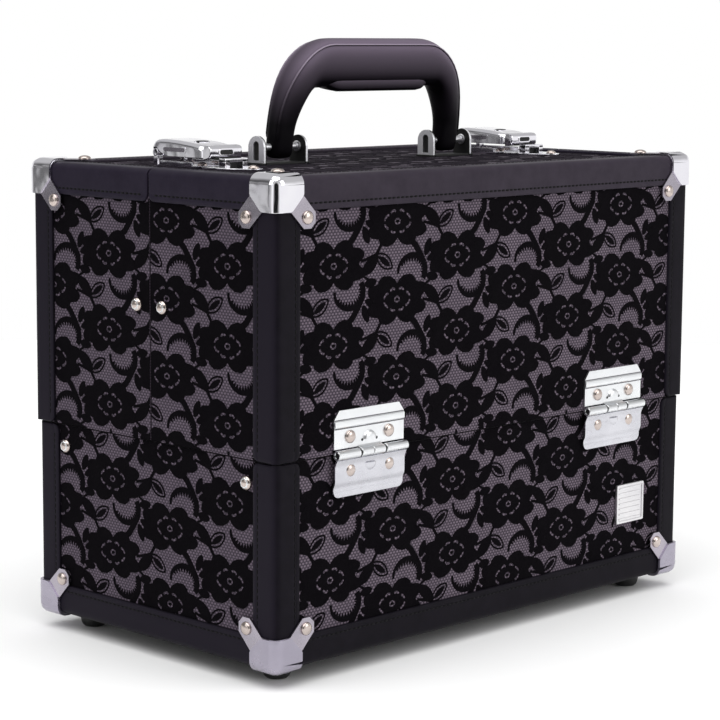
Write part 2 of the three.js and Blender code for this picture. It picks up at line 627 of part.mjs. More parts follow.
// The hook hangs from the lever's front edge; its rod end is caught by the block on the keeper.
function latchHook() {
  const profile = [[-3.6, 3.2], [-3.6, 10], [-4.6, 11.2], [-8, 10.8], [-9, 9.8], [-9, 5.4]];
  const slot = box([-4.6, 4.6], [-10, -7.8], [6.8, 9.2]);
  return cut(prism("x", profile.reverse(), [-LATCH_HALF_WIDTH + GAP, LATCH_HALF_WIDTH - GAP]), slot);
}

function latchKeeper() {
  const shape = new THREE.Shape();
  const tip = KEEPER_TAIL + KEEPER_TIP;
  shape.moveTo(LATCH_HALF_WIDTH, KEEPER_FRONT);
  shape.lineTo(-LATCH_HALF_WIDTH, KEEPER_FRONT);
  shape.lineTo(-LATCH_HALF_WIDTH, KEEPER_SHOULDER);
  shape.lineTo(-KEEPER_TIP, tip);
  shape.absarc(0, tip, KEEPER_TIP, Math.PI, 2 * Math.PI);
  shape.lineTo(LATCH_HALF_WIDTH, KEEPER_SHOULDER);
  const plate = prism("z", shape, [LATCH_FOOT, LATCH_FOOT + 1]);
  const catchBlock = cut(box([-8, 8], [-17, -12], [LATCH_FOOT, 4.6]),
    box([-4.5, 4.5], [-20, -10], [0.6, 3.2]));
  return join(plate, catchBlock, rivet([0, tip, LATCH_FOOT + 1], [0, 0, 1], KEEPER_RIVET_RADIUS));
}

function latchParts() {
  const group = new THREE.Group();
  const pieces = {
    latch_base: latchBase(), latch_lever: latchLever(), latch_hook: latchHook(),
    latch_keeper: latchKeeper(),
  };
  for (const [end, x] of [["left", -LATCH_X], ["right", LATCH_X]]) {
    for (const [name, solid] of Object.entries(pieces)) {
      place(group, `${name}_${end}`, solid, CHROME).position.set(x, 0, TOP);
    }
  }
  return group;
}

// ---- Assembly ------------------------------------------------------------------------------------

const lower = lowerLeaf();
const upper = upperLeaf();
for (const [name, side] of [["front", 1], ["rear", -1]]) {
  const half = new THREE.Group();
  half.scale.y = side;
  half.add(lidParts(name), lidCaps(name), trayParts(name));
  half.add(hingeLeaves(name, "lower", lower), hingeLeaves(name, "upper", upper));
  root.add(half);
}
root.add(baseParts(), trimParts(), handleParts(), latchParts());

export default root;
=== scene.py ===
"""Looks of the makeup train case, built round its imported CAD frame. Metres, +Z up, the front faces -Y.
Pieces are drawn in millimetres, and scaled when they become objects."""
import math

import bmesh
import bpy
from mathutils import Matrix, Vector
from mathutils.geometry import tessellate_polygon


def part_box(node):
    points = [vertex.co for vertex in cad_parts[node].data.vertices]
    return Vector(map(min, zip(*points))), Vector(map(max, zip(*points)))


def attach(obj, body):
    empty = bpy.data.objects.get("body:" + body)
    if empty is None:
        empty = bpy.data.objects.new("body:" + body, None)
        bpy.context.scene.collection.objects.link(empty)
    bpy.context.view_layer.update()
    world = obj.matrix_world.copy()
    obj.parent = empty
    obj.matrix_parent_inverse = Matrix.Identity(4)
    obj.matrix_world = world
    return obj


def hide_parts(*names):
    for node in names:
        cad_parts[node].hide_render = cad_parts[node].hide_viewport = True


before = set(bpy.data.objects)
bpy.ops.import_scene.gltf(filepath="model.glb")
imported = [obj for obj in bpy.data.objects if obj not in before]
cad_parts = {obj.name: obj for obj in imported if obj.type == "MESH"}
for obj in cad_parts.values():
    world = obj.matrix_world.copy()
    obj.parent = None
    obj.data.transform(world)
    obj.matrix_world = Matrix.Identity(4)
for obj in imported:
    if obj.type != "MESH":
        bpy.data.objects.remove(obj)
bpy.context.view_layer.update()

MM = 0.001
TAU = 2 * math.pi
SIDES = (("front", -1), ("rear", 1))        # the names along Y and along X, with their signs
ENDS = (("left", -1), ("right", 1))
FORWARD, UP, TO_REAR = (0, -1, 0), (0, 0, 1), (0, 1, 0)

# ---- Measures read from the frame, in millimetres


def mm_box(node):
    """A CAD node's lowest and highest corner."""
    low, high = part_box(node)
    return [c / MM for c in low], [c / MM for c in high]


def measures():
    base_low, base_high = mm_box("base_edge_binding")
    lid_low, lid_high = mm_box("front_lid_edge_binding")
    base_in, _ = mm_box("base_left_panel")
    _, plate = mm_box("front_lid_top_panel")
    return {
        "base": (base_high[0], base_high[1]), "foot": base_low[2], "rim": base_high[2],
        "lid": (lid_high[0], -lid_low[1]), "lid_low": lid_low[2], "top": lid_high[2],
        "middle": lid_high[1], "inset": base_in[0] - base_low[0], "plate": plate[2],
        "split": (base_high[2] + lid_low[2]) / 2,
    }


S = measures()
STRIP = 17.0        # a leather strip's width and thickness, and the radius of the case's edges
WRAP = 1.3
CORNER = 4.0

# ---- Mesh helpers


def placed(name, data):
    """A new object in the scene."""
    made = bpy.data.objects.new(name, data)
    bpy.context.scene.collection.objects.link(made)
    return made


def mesh_of(bm, name):
    """Turns a bmesh into a mesh, and frees it."""
    mesh = bpy.data.meshes.new(name)
    bm.to_mesh(mesh)
    bm.free()
    return mesh


def bmesh_of(mesh):
    """Turns a mesh into a bmesh, and removes it."""
    bm = bmesh.new()
    bm.from_mesh(mesh)
    bpy.data.meshes.remove(mesh)
    return bm


def modified(piece):
    """The mesh that a piece's modifiers make."""
    bpy.context.view_layer.update()
    return bpy.data.meshes.new_from_object(piece.evaluated_get(bpy.context.evaluated_depsgraph_get()))


def apply_modifiers(piece):
    before, piece_mesh = piece.data, modified(piece)
    piece.modifiers.clear()
    piece.data = piece_mesh
    bpy.data.meshes.remove(before)
    piece_mesh.name = piece.name


def add_bevel(piece, width, segments, angle=38):
    edge = piece.modifiers.new("edge", "BEVEL")
    edge.width, edge.segments = width, segments
    edge.limit_method, edge.angle_limit = "ANGLE", math.radians(angle)


def add_object(name, bm, materials, body, slot, replaces=(), smooth=35, bevel=None, subdivide=0, crisp=False):
    """Turns a bmesh drawn in millimetres into a piece that rides on a body. Materials are names in MAT,
    and a face's material index counts along them. Crisp keeps wide faces flat in the light beside
    their small bevels."""
    bmesh.ops.recalc_face_normals(bm, faces=bm.faces)
    mesh = mesh_of(bm, name)
    mesh.transform(Matrix.Scale(MM, 4))
    piece = placed(name, mesh)
    for material in materials.split():
        mesh.materials.append(MAT[material])
    if bevel:
        add_bevel(piece, bevel[0] * MM, bevel[1])
    if subdivide:
        sub = piece.modifiers.new("sub", "SUBSURF")
        sub.levels = sub.render_levels = subdivide
    if bevel or subdivide:
        apply_modifiers(piece)
    for polygon in piece.data.polygons:
        polygon.use_smooth = True
    piece.data.set_sharp_from_angle(angle=math.radians(smooth))
    if crisp:
        piece.modifiers.new("weigh", "WEIGHTED_NORMAL").keep_sharp = True
        apply_modifiers(piece)
    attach(piece, body)
    if replaces:
        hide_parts(*replaces)


def loop_tube(bm, sections, material=0):
    """Skins a list of equal closed loops of points, and closes both ends."""
    rings = [[bm.verts.new(p) for p in section] for section in sections]
    faces = []
    for a, b in zip(rings, rings[1:]):
        for i in range(len(a)):
            j = (i + 1) % len(a)
            faces.append(bm.faces.new((a[i], a[j], b[j], b[i])))
    faces.append(bm.faces.new(list(reversed(rings[0]))))
    faces.append(bm.faces.new(rings[-1]))
    for face in faces:
        face.material_index = material


def slab(bm, loops, put, low, high, material=0):
    """A flat plate from 2-D loops, the first one outer and the rest holes; put maps (u, v, height)."""
    flat = [Vector((u, v, 0)) for loop in loops for u, v in loop]
    triangles = tessellate_polygon([[Vector((u, v, 0)) for u, v in loop] for loop in loops])
    tops = [bm.verts.new(put(p.x, p.y, high)) for p in flat]
    floors = [bm.verts.new(put(p.x, p.y, low)) for p in flat]
    made = []
    for a, b, c in triangles:
        if (flat[b] - flat[a]).cross(flat[c] - flat[a]).length < 1e-9:
            continue
        made.append(bm.faces.new((tops[a], tops[b], tops[c])))
        made.append(bm.faces.new((floors[c], floors[b], floors[a])))
    start = 0
    for loop in loops:
        n = len(loop)
        for i in range(n):
            a, b = start + i, start + (i + 1) % n
            made.append(bm.faces.new((floors[a], floors[b], tops[b], tops[a])))
        start += n
    for face in made:
        face.material_index = material


def lathe(bm, profile, put, steps, material=0):
    """Turns (radius, height) points about the height axis; put maps (x, y, height)."""
    rings = []
    for radius, height in profile:
        if radius < 1e-6:
            rings.append([bm.verts.new(put(0, 0, height))])
        else:
            rings.append([bm.verts.new(put(x, y, height)) for x, y in oval(0, 0, radius, radius, steps=steps)])
    for a, b in zip(rings, rings[1:]):
        for i in range(steps):
            j = (i + 1) % steps
            corners = [a[i % len(a)], a[j % len(a)], b[j % len(b)], b[i % len(b)]]
            unique = list(dict.fromkeys(corners))
            if len(unique) > 2:
                bm.faces.new(unique).material_index = material


def rivet(bm, radius, height, put, steps, material=1):
    """A domed rivet head whose foot sinks into what it holds."""
    dome = [(radius * math.cos(math.radians(a)), 0.35 + (height - 0.35) * math.sin(math.radians(a)))
            for a in (0, 14, 28, 42, 56, 70, 80)]
    lathe(bm, [(0, -0.4), (radius, -0.4), *dome, (0, height)], put, steps, material)


def block(bm, low, high, material=0):
    corners = [(x, y, z) for x in (low[0], high[0]) for y in (low[1], high[1]) for z in (low[2], high[2])]
    v = [bm.verts.new(c) for c in corners]
    for ring in ((0, 1, 3, 2), (4, 6, 7, 5), (0, 4, 5, 1), (2, 3, 7, 6), (0, 2, 6, 4), (1, 5, 7, 3)):
        bm.faces.new([v[i] for i in ring]).material_index = material


def facing(origin, normal, up=UP):
    """Maps (u, v, height) onto a face: u to the right as seen from outside, height out of it."""
    n, top = Vector(normal), Vector(up)
    right = top.cross(n).normalized()
    top = n.cross(right)
    o = Vector(origin)
    return lambda u, v, h: o + right * u + top * v + n * h


def level(x, y, z):
    """Maps (u, v, height) onto a level face: u along X, v along Y."""
    return facing((x, y, z), UP, TO_REAR)


def arc(cx, cy, rx, ry, start, stop, steps):
    return [(cx + rx * math.cos(math.radians(start + (stop - start) * i / steps)),
             cy + ry * math.sin(math.radians(start + (stop - start) * i / steps)))
            for i in range(steps + 1)]


def oval(cx, cy, rx, ry, turn=0, steps=12, pinch=0):
    """An ellipse, or a leaf when pinch draws its two tips out."""
    c, s = math.cos(math.radians(turn)), math.sin(math.radians(turn))
    points = []
    for i in range(steps):
        t = TAU * i / steps
        x, y = rx * math.cos(t), ry * math.sin(t) * (1 - pinch * math.cos(t) ** 2)
        points.append((cx + x * c - y * s, cy + x * s + y * c))
    return points


def round_rect(half_w, half_h, radius, steps=4, up=0):
    """A rectangle with rounded corners, its middle moved up."""
    points = []
    for cx, cy, start in ((1, 1, 0), (-1, 1, 90), (-1, -1, 180), (1, -1, 270)):
        points += arc(cx * (half_w - radius), up + cy * (half_h - radius), radius, radius,
                      start, start + 90, steps)
    return points


def shifted(bm, *by):
    bmesh.ops.translate(bm, verts=bm.verts, vec=by)


def scaled(bm, x=1, y=1, z=1):
    """Scales by signs, keeping the faces outside out."""
    bmesh.ops.scale(bm, verts=bm.verts, vec=(x, y, z))
    if x * y * z < 0:
        bmesh.ops.reverse_faces(bm, faces=bm.faces)


def clamped(value):
    return min(1.0, max(0.0, value))


# ---- Materials


class Nodes:
    """A node tree, with short calls for the nodes used here. Coordinates come from its place socket."""

    def __init__(self, tree, place):
        self.tree = tree
        self.place = self.new("ShaderNodeTexCoord").outputs[place]

    def new(self, kind, **settings):
        node = self.tree.nodes.new(kind)
        for key, value in settings.items():
            setattr(node, key, value)
        return node

    def feed(self, socket, value):
        if isinstance(value, bpy.types.NodeSocket):
            self.tree.links.new(value, socket)
        else:
            socket.default_value = value

    def fed(self, node, *values, out=0):
        """Feeds a node's first inputs in order, and returns one output."""
        for socket, value in zip(node.inputs, values):
            self.feed(socket, value)
        return node.outputs[out]

    def math(self, kind, a, b=0.0):
        return self.fed(self.new("ShaderNodeMath", operation=kind), a, b)

    def dot(self, direction):
        node = self.new("ShaderNodeVectorMath", operation="DOT_PRODUCT")
        return self.fed(node, self.place, direction, out="Value")

    def noise(self, scale, detail=3.0, rough=0.55, stretch=None):
        node = self.new("ShaderNodeTexNoise")
        source = self.place
        if stretch:
            source = self.fed(self.new("ShaderNodeVectorMath", operation="MULTIPLY"), source, stretch)
        for name, value in (("Vector", source), ("Scale", scale), ("Detail", detail), ("Roughness", rough)):
            self.feed(node.inputs[name], value)
        return node.outputs[0]

    def cells(self, scale):
        node = self.new("ShaderNodeTexVoronoi")
        self.feed(node.inputs["Vector"], self.place)
        self.feed(node.inputs["Scale"], scale)
        return node.outputs["Distance"]

    def span(self, value, low, high, to_low=0.0, to_high=1.0):
        return self.fed(self.new("ShaderNodeMapRange"), value, low, high, to_low, to_high)

    def mix(self, factor, a, b):
        node = self.new("ShaderNodeMix", data_type="RGBA")
        for socket, value in ((0, factor), (6, a), (7, b)):
            self.feed(node.inputs[socket], (*value, 1) if isinstance(value, tuple) else value)
        return node.outputs[2]


class Surface(Nodes):
    """A material's nodes, in the piece's own coordinates."""

    def __init__(self, name):
        self.material = bpy.data.materials.new(name)
        self.material.use_nodes = True
        super().__init__(self.material.node_tree, "Object")
        self.shader = self.tree.nodes["Principled BSDF"]

    def normal(self, axis):
        """One component of the surface's direction in the piece's own frame."""
        normal = self.new("ShaderNodeTexCoord").outputs["Normal"]
        return self.fed(self.new("ShaderNodeSeparateXYZ"), normal, out=axis)

    def bump(self, height, strength, distance, under=None):
        """Raises the surface by height, on top of the normals of an earlier bump; distance in mm."""
        node = self.new("ShaderNodeBump")
        for name, value in (("Strength", strength), ("Distance", distance * MM), ("Height", height)):
            self.feed(node.inputs[name], value)
        if under:
            self.feed(node.inputs["Normal"], under)
        self.feed(self.shader.inputs["Normal"], node.outputs[0])
        return node.outputs[0]

    def finish(self, color, roughness, **sockets):
        self.feed(self.shader.inputs["Base Color"], color)
        self.feed(self.shader.inputs["Roughness"], roughness)
        for name, value in sockets.items():
            self.shader.inputs[name.replace("_", " ")].default_value = value
        return self.material


NET_LIGHT = (0.172, 0.134, 0.17)
NET_DARK = (0.036, 0.028, 0.04)
LINING = (0.012, 0.011, 0.013)
# the end faces' lighter net colour, darker than NET_LIGHT: painted shade for the dimmer light there
END_NET_LIGHT_SHADED = (0.138, 0.106, 0.142)
TOP_LIGHT = (0.085, 0.066, 0.092)
TOP_DARK = (0.024, 0.0185, 0.027)
NET_CELL = (2.35, 1.5)      # a mesh's width, and the height from one row of meshes to the next
LINING_FROM = (1.2, 0.4)    # the fabric ends between these depths behind its face


def net_fabric(name, across, up, depth, colors):
    """Hexagonal net over its ground; where depth gives (normal, distance) in mm, the inside is lining."""
    n = Surface(name)
    wide, row = NET_CELL
    wave = [n.math("COSINE", n.dot((Vector(across) * u + Vector(up) * v) * (TAU / MM)))
            for u, v in ((1 / wide, 0.5 / row), (1 / wide, -0.5 / row), (0, 1 / row))]
    net = n.span(n.math("ADD", n.math("ADD", wave[0], wave[1]), wave[2]), -1.1, 1.9)
    cloud = n.noise(60)
    dark, light = colors
    ground = n.mix(n.span(cloud, 0.35, 0.7, 0.0, 0.25), n.mix(net, dark, light), dark)
    if depth:
        normal, distance = depth
        outside = n.span(n.dot(normal), *((distance - behind) * MM for behind in LINING_FROM))
        ground = n.mix(outside, LINING, ground)
    n.bump(net, 0.35, 0.25)
    return n.finish(ground, n.span(cloud, 0.2, 0.8, 0.7, 0.9), Sheen_Weight=0.05,
                    Sheen_Roughness=0.5, Specular_IOR_Level=0.15)


def lace_material(name, dark, light):
    n = Surface(name)
    fuzz, cloud = n.noise(2600, 2), n.noise(90, 2)
    n.bump(fuzz, 0.5, 0.12)
    return n.finish(n.mix(n.span(fuzz, 0.3, 0.75), dark, light), n.span(cloud, 0.3, 0.7, 0.85, 0.98),
                    Sheen_Weight=0.005, Sheen_Roughness=0.5, Specular_IOR_Level=0.03)


def pored(name, dark, light, grain, strength):
    """What all leather here shares: its nodes, with pores and creases raised, and its mottled colour."""
    n = Surface(name)
    soft = n.noise(140, 4)
    height = n.math("ADD", n.math("MULTIPLY", n.cells(grain), 0.6), n.math("MULTIPLY", soft, 0.5))
    n.bump(height, strength, 0.16)
    return n, n.mix(n.span(soft, 0.3, 0.75), dark, light)


def leather(name, dark, light, gloss, side=None):
    """The strips' leather; side is the paler colour painted on its parts that face along X, standing for the light
    on them.
    """
    n, color = pored(name, dark, light, 900, 0.22)
    if side:
        # painted light: faces turned along X get the paler side colour
        color = n.mix(n.span(n.math("ABSOLUTE", n.normal("X")), 0.6, 0.97), color, side)
    return n.finish(color, n.span(n.noise(22), 0.3, 0.7, 0.45, 0.57), Specular_IOR_Level=gloss)


def grip_leather(name, highlight_color):
    """Smooth dark leather with a painted highlight: paler on all that faces up and forward, less so down the legs.
    """
    n, color = pored(name, (0.0013, 0.001, 0.0018), (0.0026, 0.0021, 0.0034), 1300, 0.2)
    # painted highlight: the colour turns paler with height, on faces turned up and to the front and back
    upper = n.span(n.dot(UP), (S["top"] + 20) * MM, (S["top"] + 54) * MM, 0.02, 1.0)
    broad = n.span(n.math("ABSOLUTE", n.normal("Y")), 0.0, 0.6, 0.5, 1.0)
    painted_highlight = n.math("MULTIPLY", n.span(n.normal("Z"), -0.6, 0.45), n.math("MULTIPLY", upper, broad))
    return n.finish(n.mix(painted_highlight, color, highlight_color), n.span(n.noise(22), 0.3, 0.7, 0.38, 0.48),
                    Specular_IOR_Level=0.07)


def metal(name, color, shade, roughness, streak=None, dents=0.0):
    """Plated metal with haze and fine grain, drawn out along streak, over shallow dents."""
    n = Surface(name)
    haze = n.noise(55, 3, 0.5)
    fine = n.noise(700 if streak else 900, 2, 0.5, streak)
    rough = n.math("ADD", n.span(haze, 0.3, 0.7, roughness, roughness + 0.05), n.math("MULTIPLY", fine, 0.04))
    swell = n.bump(n.noise(85, 1), 1.0, dents) if dents else None
    n.bump(fine, 0.12, 0.03, swell)
    return n.finish(n.mix(n.span(haze, 0.3, 0.7), color, shade), rough, Metallic=1.0)


def plastic(name, dark, light, roughness, grain=1400):
    n = Surface(name)
    scuff = n.noise(35, 4)
    n.bump(n.noise(grain, 2), 0.25, 0.12)
    return n.finish(n.mix(n.span(scuff, 0.35, 0.7), dark, light),
                    n.span(scuff, 0.3, 0.7, roughness, roughness + 0.12))


def thread_material():
    n = Surface("thread")
    twist = n.noise(1500, 1)
    n.bump(twist, 0.6, 0.1)
    return n.finish(n.mix(twist, (0.0015, 0.0014, 0.0018), (0.005, 0.0045, 0.0055)), 0.8,
                    Sheen_Weight=0.05, Specular_IOR_Level=0.1)


BRUSHED = (0.12, 1, 1)
MAT = {
    "lace": lace_material("lace_flock", (0.0012, 0.0009, 0.0014), (0.0048, 0.0038, 0.0054)),
    # the top face's lace is paler: painted light and sheen on the face turned up
    "lace_top": lace_material("top_lit_lace", (0.009, 0.007, 0.0105), (0.019, 0.015, 0.022)),
    # the last colour is the strips' painted light on faces turned along X
    "leather": leather("strip_leather", (0.0034, 0.0025, 0.0049), (0.0062, 0.0047, 0.0085), 0.07,
                       (0.0105, 0.0083, 0.0145)),
    # the lid's top strips are paler copies of the strip leather: painted light from above, strongest along the front
    # and rear
    "rail": leather("top_lit_rail_leather", (0.027, 0.0213, 0.031), (0.037, 0.0298, 0.042), 0.08),
    "end_rail": leather("end_top_lit_rail_leather", (0.0145, 0.0113, 0.0212), (0.0205, 0.0163, 0.0285), 0.08),
    # the handle's paler colour is its painted highlight on top
    "handle": grip_leather("grip_leather", (0.14, 0.111, 0.152)),
    # the piping carries a brighter painted highlight line, by the same mask as the handle
    "seam": grip_leather("seam_highlight_leather", (0.3, 0.25, 0.32)),
    "thread": thread_material(),
    "chrome": metal("bright_chrome", (0.925, 0.915, 0.955), (0.85, 0.835, 0.9), 0.06, dents=0.45),
    "satin": metal("satin_lilac", (0.405, 0.378, 0.45), (0.355, 0.333, 0.4), 0.24, dents=0.6),
    "tab": metal("lilac_tab", (0.44, 0.405, 0.46), (0.36, 0.335, 0.385), 0.22, dents=0.8),
    "steel": metal("satin_steel", (0.79, 0.805, 0.82), (0.73, 0.74, 0.755), 0.25, BRUSHED),
    # the lower leaves get a darker copy of the steel: painted shade
    "leaf": metal("shaded_lower_leaf_steel", (0.62, 0.62, 0.66), (0.54, 0.54, 0.58), 0.22, BRUSHED, 0.5),
    "ear": metal("ear_chrome", (0.95, 0.95, 0.98), (0.86, 0.86, 0.9), 0.36),
    "dome": metal("polished_rivet", (0.6, 0.52, 0.48), (0.5, 0.43, 0.4), 0.19),
    # dark grey: painted shade for pressed lines and narrow gaps
    "groove": plastic("groove_line_shade", (0.085, 0.08, 0.095), (0.12, 0.115, 0.13), 0.5),
    "badge": metal("badge_satin", (0.745, 0.735, 0.745), (0.67, 0.66, 0.68), 0.3, (1, 1, 0.15)),
    "rubber": plastic("foot_rubber_grain", (0.006, 0.006, 0.0065), (0.012, 0.012, 0.013), 0.5),
    "tray": plastic("tray_moulding", (0.013, 0.013, 0.0145), (0.02, 0.02, 0.022), 0.42, 2200),
    "shadow": plastic("dark_recess", (0.002, 0.002, 0.002), (0.005, 0.005, 0.005), 0.6),
}

# ---- Camera, floor and light

FLOOR_RADIUS = 1.2
CAMERA_AT = Vector((-0.95, -0.9174, 0.3307))
YAW, PITCH, ROLL = (math.radians(d) for d in (45.7037, 8.0672, 0.3992))


def make_camera():
    forward = Vector((math.sin(YAW) * math.cos(PITCH), math.cos(YAW) * math.cos(PITCH), -math.sin(PITCH)))
    right = Vector((math.cos(YAW), -math.sin(YAW), 0))
    up = right.cross(forward)
    turned = right * math.cos(ROLL) + up * math.sin(ROLL)
    up = up * math.cos(ROLL) - right * math.sin(ROLL)
    camera = placed("camera", bpy.data.cameras.new("camera"))
    camera.data.lens = 116.16
    axes = Matrix((turned, up, -forward)).transposed().to_4x4()
    camera.matrix_world = Matrix.Translation(CAMERA_AT) @ axes
    bpy.context.scene.camera = camera


def area_light(name, at, aim, size, power):
    data = bpy.data.lights.new(name, "AREA")
    data.shape, data.size, data.size_y = "RECTANGLE", size[0], size[1]
    data.energy = power
    lamp = placed(name, data)
    lamp.location = at
    lamp.rotation_mode = "QUATERNION"
    lamp.rotation_quaternion = (Vector(aim) - Vector(at)).to_track_quat("-Z", "Y")


def make_world():
    """The horizon is bright but for a dark sector behind the camera and a blotchy grey one to the rear
    left; the sky is a mid grey. The camera itself sees white."""
    world = bpy.data.worlds.new("studio")
    world.use_nodes = True
    n = Nodes(world.node_tree, "Generated")
    dark_side = n.span(n.dot((-math.sin(YAW), -math.cos(YAW), 0.0)), 0.84, 0.95, 1.0, 0.01)
    grey_side = n.span(n.dot((-math.sin(YAW), math.cos(YAW), 0.0)), 0.72, 0.9, 1.0, 0.16)
    clutter = n.span(n.noise(7.0, 2.0, 0.5), 0.47, 0.62, 0.14, 0.62)
    horizon = n.math("MULTIPLY", dark_side, n.math("MAXIMUM", grey_side, clutter))
    sky = n.math("MULTIPLY", n.span(n.dot(UP), 0.1, 0.4, 0.95, 0.52), horizon)
    seen = n.new("ShaderNodeLightPath").outputs["Is Camera Ray"]
    n.feed(n.tree.nodes["Background"].inputs["Color"], n.math("MAXIMUM", seen, sky))
    bpy.context.scene.world = world
    bpy.context.scene.view_settings.view_transform = "Standard"


def make_stage():
    bm = bmesh.new()
    bmesh.ops.create_circle(bm, cap_ends=True, radius=FLOOR_RADIUS, segments=128)
    floor = placed("floor", mesh_of(bm, "floor"))
    n = Surface("pale_floor")
    pale = n.mix(n.noise(3, 2), (0.93, 0.93, 0.93), (0.95, 0.95, 0.95))
    floor.data.materials.append(n.finish(pale, 0.75, Specular_IOR_Level=0.1))

    sun = bpy.data.lights.new("ceiling", "SUN")
    sun.energy, sun.angle = 2.2, math.radians(70)
    placed("ceiling", sun).rotation_euler = (math.radians(8), math.radians(-14), 0)
    area_light("left_soft", (-1.9, 0.5, 1.0), (0, 0, 0.15), (1.0, 1.2), 5)
    area_light("front_soft", (0.7, -1.9, 1.0), (0, 0, 0.15), (1.2, 1.2), 11)


make_camera()
make_world()
make_stage()

# ---- Lace

COLUMN = 46.5               # from one column of flowers to the next, and from one flower to the next in it
PERIOD = 40.5
LACE_AT = (13.0, 31.0)      # one flower's middle
MOTIF_REACH = 36            # the farthest that a motif reaches from its flower's middle
FLOWER_EYE = (2.35, 1.85)
LEAF_AT = (-9.6, 20.4)
LEAF_TURN = -32


def flower_outline(steps=84):
    """The outer edge of eight overlapping petals."""
    petals = [(sx * x, sy * y, rx, ry, sx * sy * turn)
              for x, y, rx, ry, turn in ((6.9, 7.6, 7.2, 4.9, 14), (14.6, 3.9, 7.4, 4.3, 12))
              for sx in (-1, 1) for sy in (-1, 1)]
    points = []
    for i in range(steps):
        t = TAU * (i + 0.5) / steps
        dx, dy = math.cos(t), math.sin(t)
        best = 4.0
        for px, py, rx, ry, turn in petals:
            c, s = math.cos(math.radians(turn)), math.sin(math.radians(turn))
            ox, oy = (-px * c - py * s) / rx, (px * s - py * c) / ry
            ux, uy = (dx * c + dy * s) / rx, (-dx * s + dy * c) / ry
            a, b, k = ux * ux + uy * uy, ox * ux + oy * uy, ox * ox + oy * oy - 1
            inside = b * b - a * k
            if inside > 0:
                best = max(best, (-b + math.sqrt(inside)) / a)
        ripple = 1 + 0.012 * math.sin(23 * t)
        points.append((best * dx * ripple, best * dy * ripple))
    return points


def dash(cx, cy, rx, ry, start, stop, wide=1.35):
    """A curved dash of even width with rounded-off ends."""
    return arc(cx, cy, rx, ry, start, stop, 6) + arc(cx, cy, rx - wide, ry - wide, stop - 7, start + 7, 5)


def flower_holes():
    """Eight curved dashes round the inner petals, and the eye's round opening."""
    holes = [oval(0, 0, *FLOWER_EYE, steps=16)]
    for sy in (-1, 1):
        for mirror in (False, True):
            for cx, cy, rx, ry, start, stop in ((6.1, 0.0, 4.3, 4.2, 14, 84), (2.9, 3.2, 3.0, 3.2, 28, 128)):
                if mirror:
                    cx, start, stop = -cx, 180 - start, 180 - stop
                holes.append(dash(cx, sy * cy, rx, ry, sy * start, sy * stop))
    return holes


def comb_arc(count=31):
    """A thick hoop opening downwards, with comb teeth along its inside."""
    cx, cy, rx, ry = 11.5, 14.2, 11.6, 9.6
    inner = []
    for i in range(count):
        t = i / (count - 1)
        angle = math.radians(-34 + 220 * t)
        wide = 1.5 + 2.1 * (1 - t) ** 0.8
        tooth = 2.9 if i % 2 and 2 < i < count - 4 else 0.0
        inner.append((cx + (rx - wide - 0.55 * tooth) * math.cos(angle),
                      cy + (ry - wide * 0.85 - tooth) * math.sin(angle)))
    return arc(cx, cy, rx, ry, 186, -34, 22) + inner


def stem(points, wide):
    """A tapering ribbon along a few points."""
    left, right = [], []
    n = len(points)
    for i, (x, y) in enumerate(points):
        ax, ay = points[max(i - 1, 0)]
        bx, by = points[min(i + 1, n - 1)]
        d = math.hypot(bx - ax, by - ay) or 1
        w = wide * (0.55 + 0.45 * math.sin(math.pi * (i + 0.5) / n)) / 2
        left.append((x - (by - ay) / d * w, y + (bx - ax) / d * w))
        right.append((x + (by - ay) / d * w, y - (bx - ax) / d * w))
    return left + right[::-1]


# One repeat of the motif about its flower's middle: each shape's loops, and its thickness.
LACE_SHAPES = [
    ([flower_outline(), *flower_holes()], 0.24),
    ([oval(0, 0, 1.25, 0.85)], 0.22),
    ([comb_arc()], 0.2),
    ([oval(*LEAF_AT, 7.3, 3.9, LEAF_TURN, 16, 0.35), oval(*LEAF_AT, 6.1, 2.9, LEAF_TURN, 16, 0.35)], 0.16),
    ([oval(*LEAF_AT, 4.9, 1.8, LEAF_TURN, 10, 0.3)], 0.16),
    ([oval(-20.4, 18.6, 7.8, 3.5, 36, 14, 0.35)], 0.18),
    ([oval(-19.8, 9.9, 4.6, 2.5, 8, 12, 0.2)], 0.15),
    ([oval(23.2, 26.0, 5.0, 2.6, 66, 12, 0.3)], 0.15),
    ([oval(26.6, 20.6, 4.2, 2.2, 20, 12, 0.3)], 0.14),
    ([stem([(-27, 21.4), (-21, 22.6), (-15.6, 24.2), (-12.6, 28.4), (-10.6, 31.6)], 2.0)], 0.13),
    ([stem([(-25, 13.6), (-21.6, 11.8), (-16, 9.2)], 1.5)], 0.12),
    ([stem([(8, 31.6), (13.6, 27.6), (17.6, 22.4), (21.8, 16.6)], 3.9)], 0.14),
    ([stem([(-16.0, 24.0), (-15.0, 23.4), (-13.0, 22.4)], 1.2)], 0.12),
]


def lace_motifs(u_span, v_span):
    """The middle of each flower near the spans, and whether its motif stands upright, 1, or not, -1."""
    first = math.floor((u_span[0] - LACE_AT[0]) / COLUMN) - 1
    last = math.ceil((u_span[1] - LACE_AT[0]) / COLUMN) + 1
    lowest = math.floor((v_span[0] - LACE_AT[1]) / PERIOD) - 2
    highest = math.ceil((v_span[1] - LACE_AT[1]) / PERIOD) + 1
    for column in range(first, last + 1):
        for row in range(lowest, highest + 1):
            cu = LACE_AT[0] + column * COLUMN
            cv = LACE_AT[1] + row * PERIOD + (PERIOD / 2 if column % 2 else 0)
            if all(span[0] - MOTIF_REACH < c < span[1] + MOTIF_REACH for c, span in ((cu, u_span), (cv, v_span))):
                yield cu, cv, -1 if column % 2 else 1


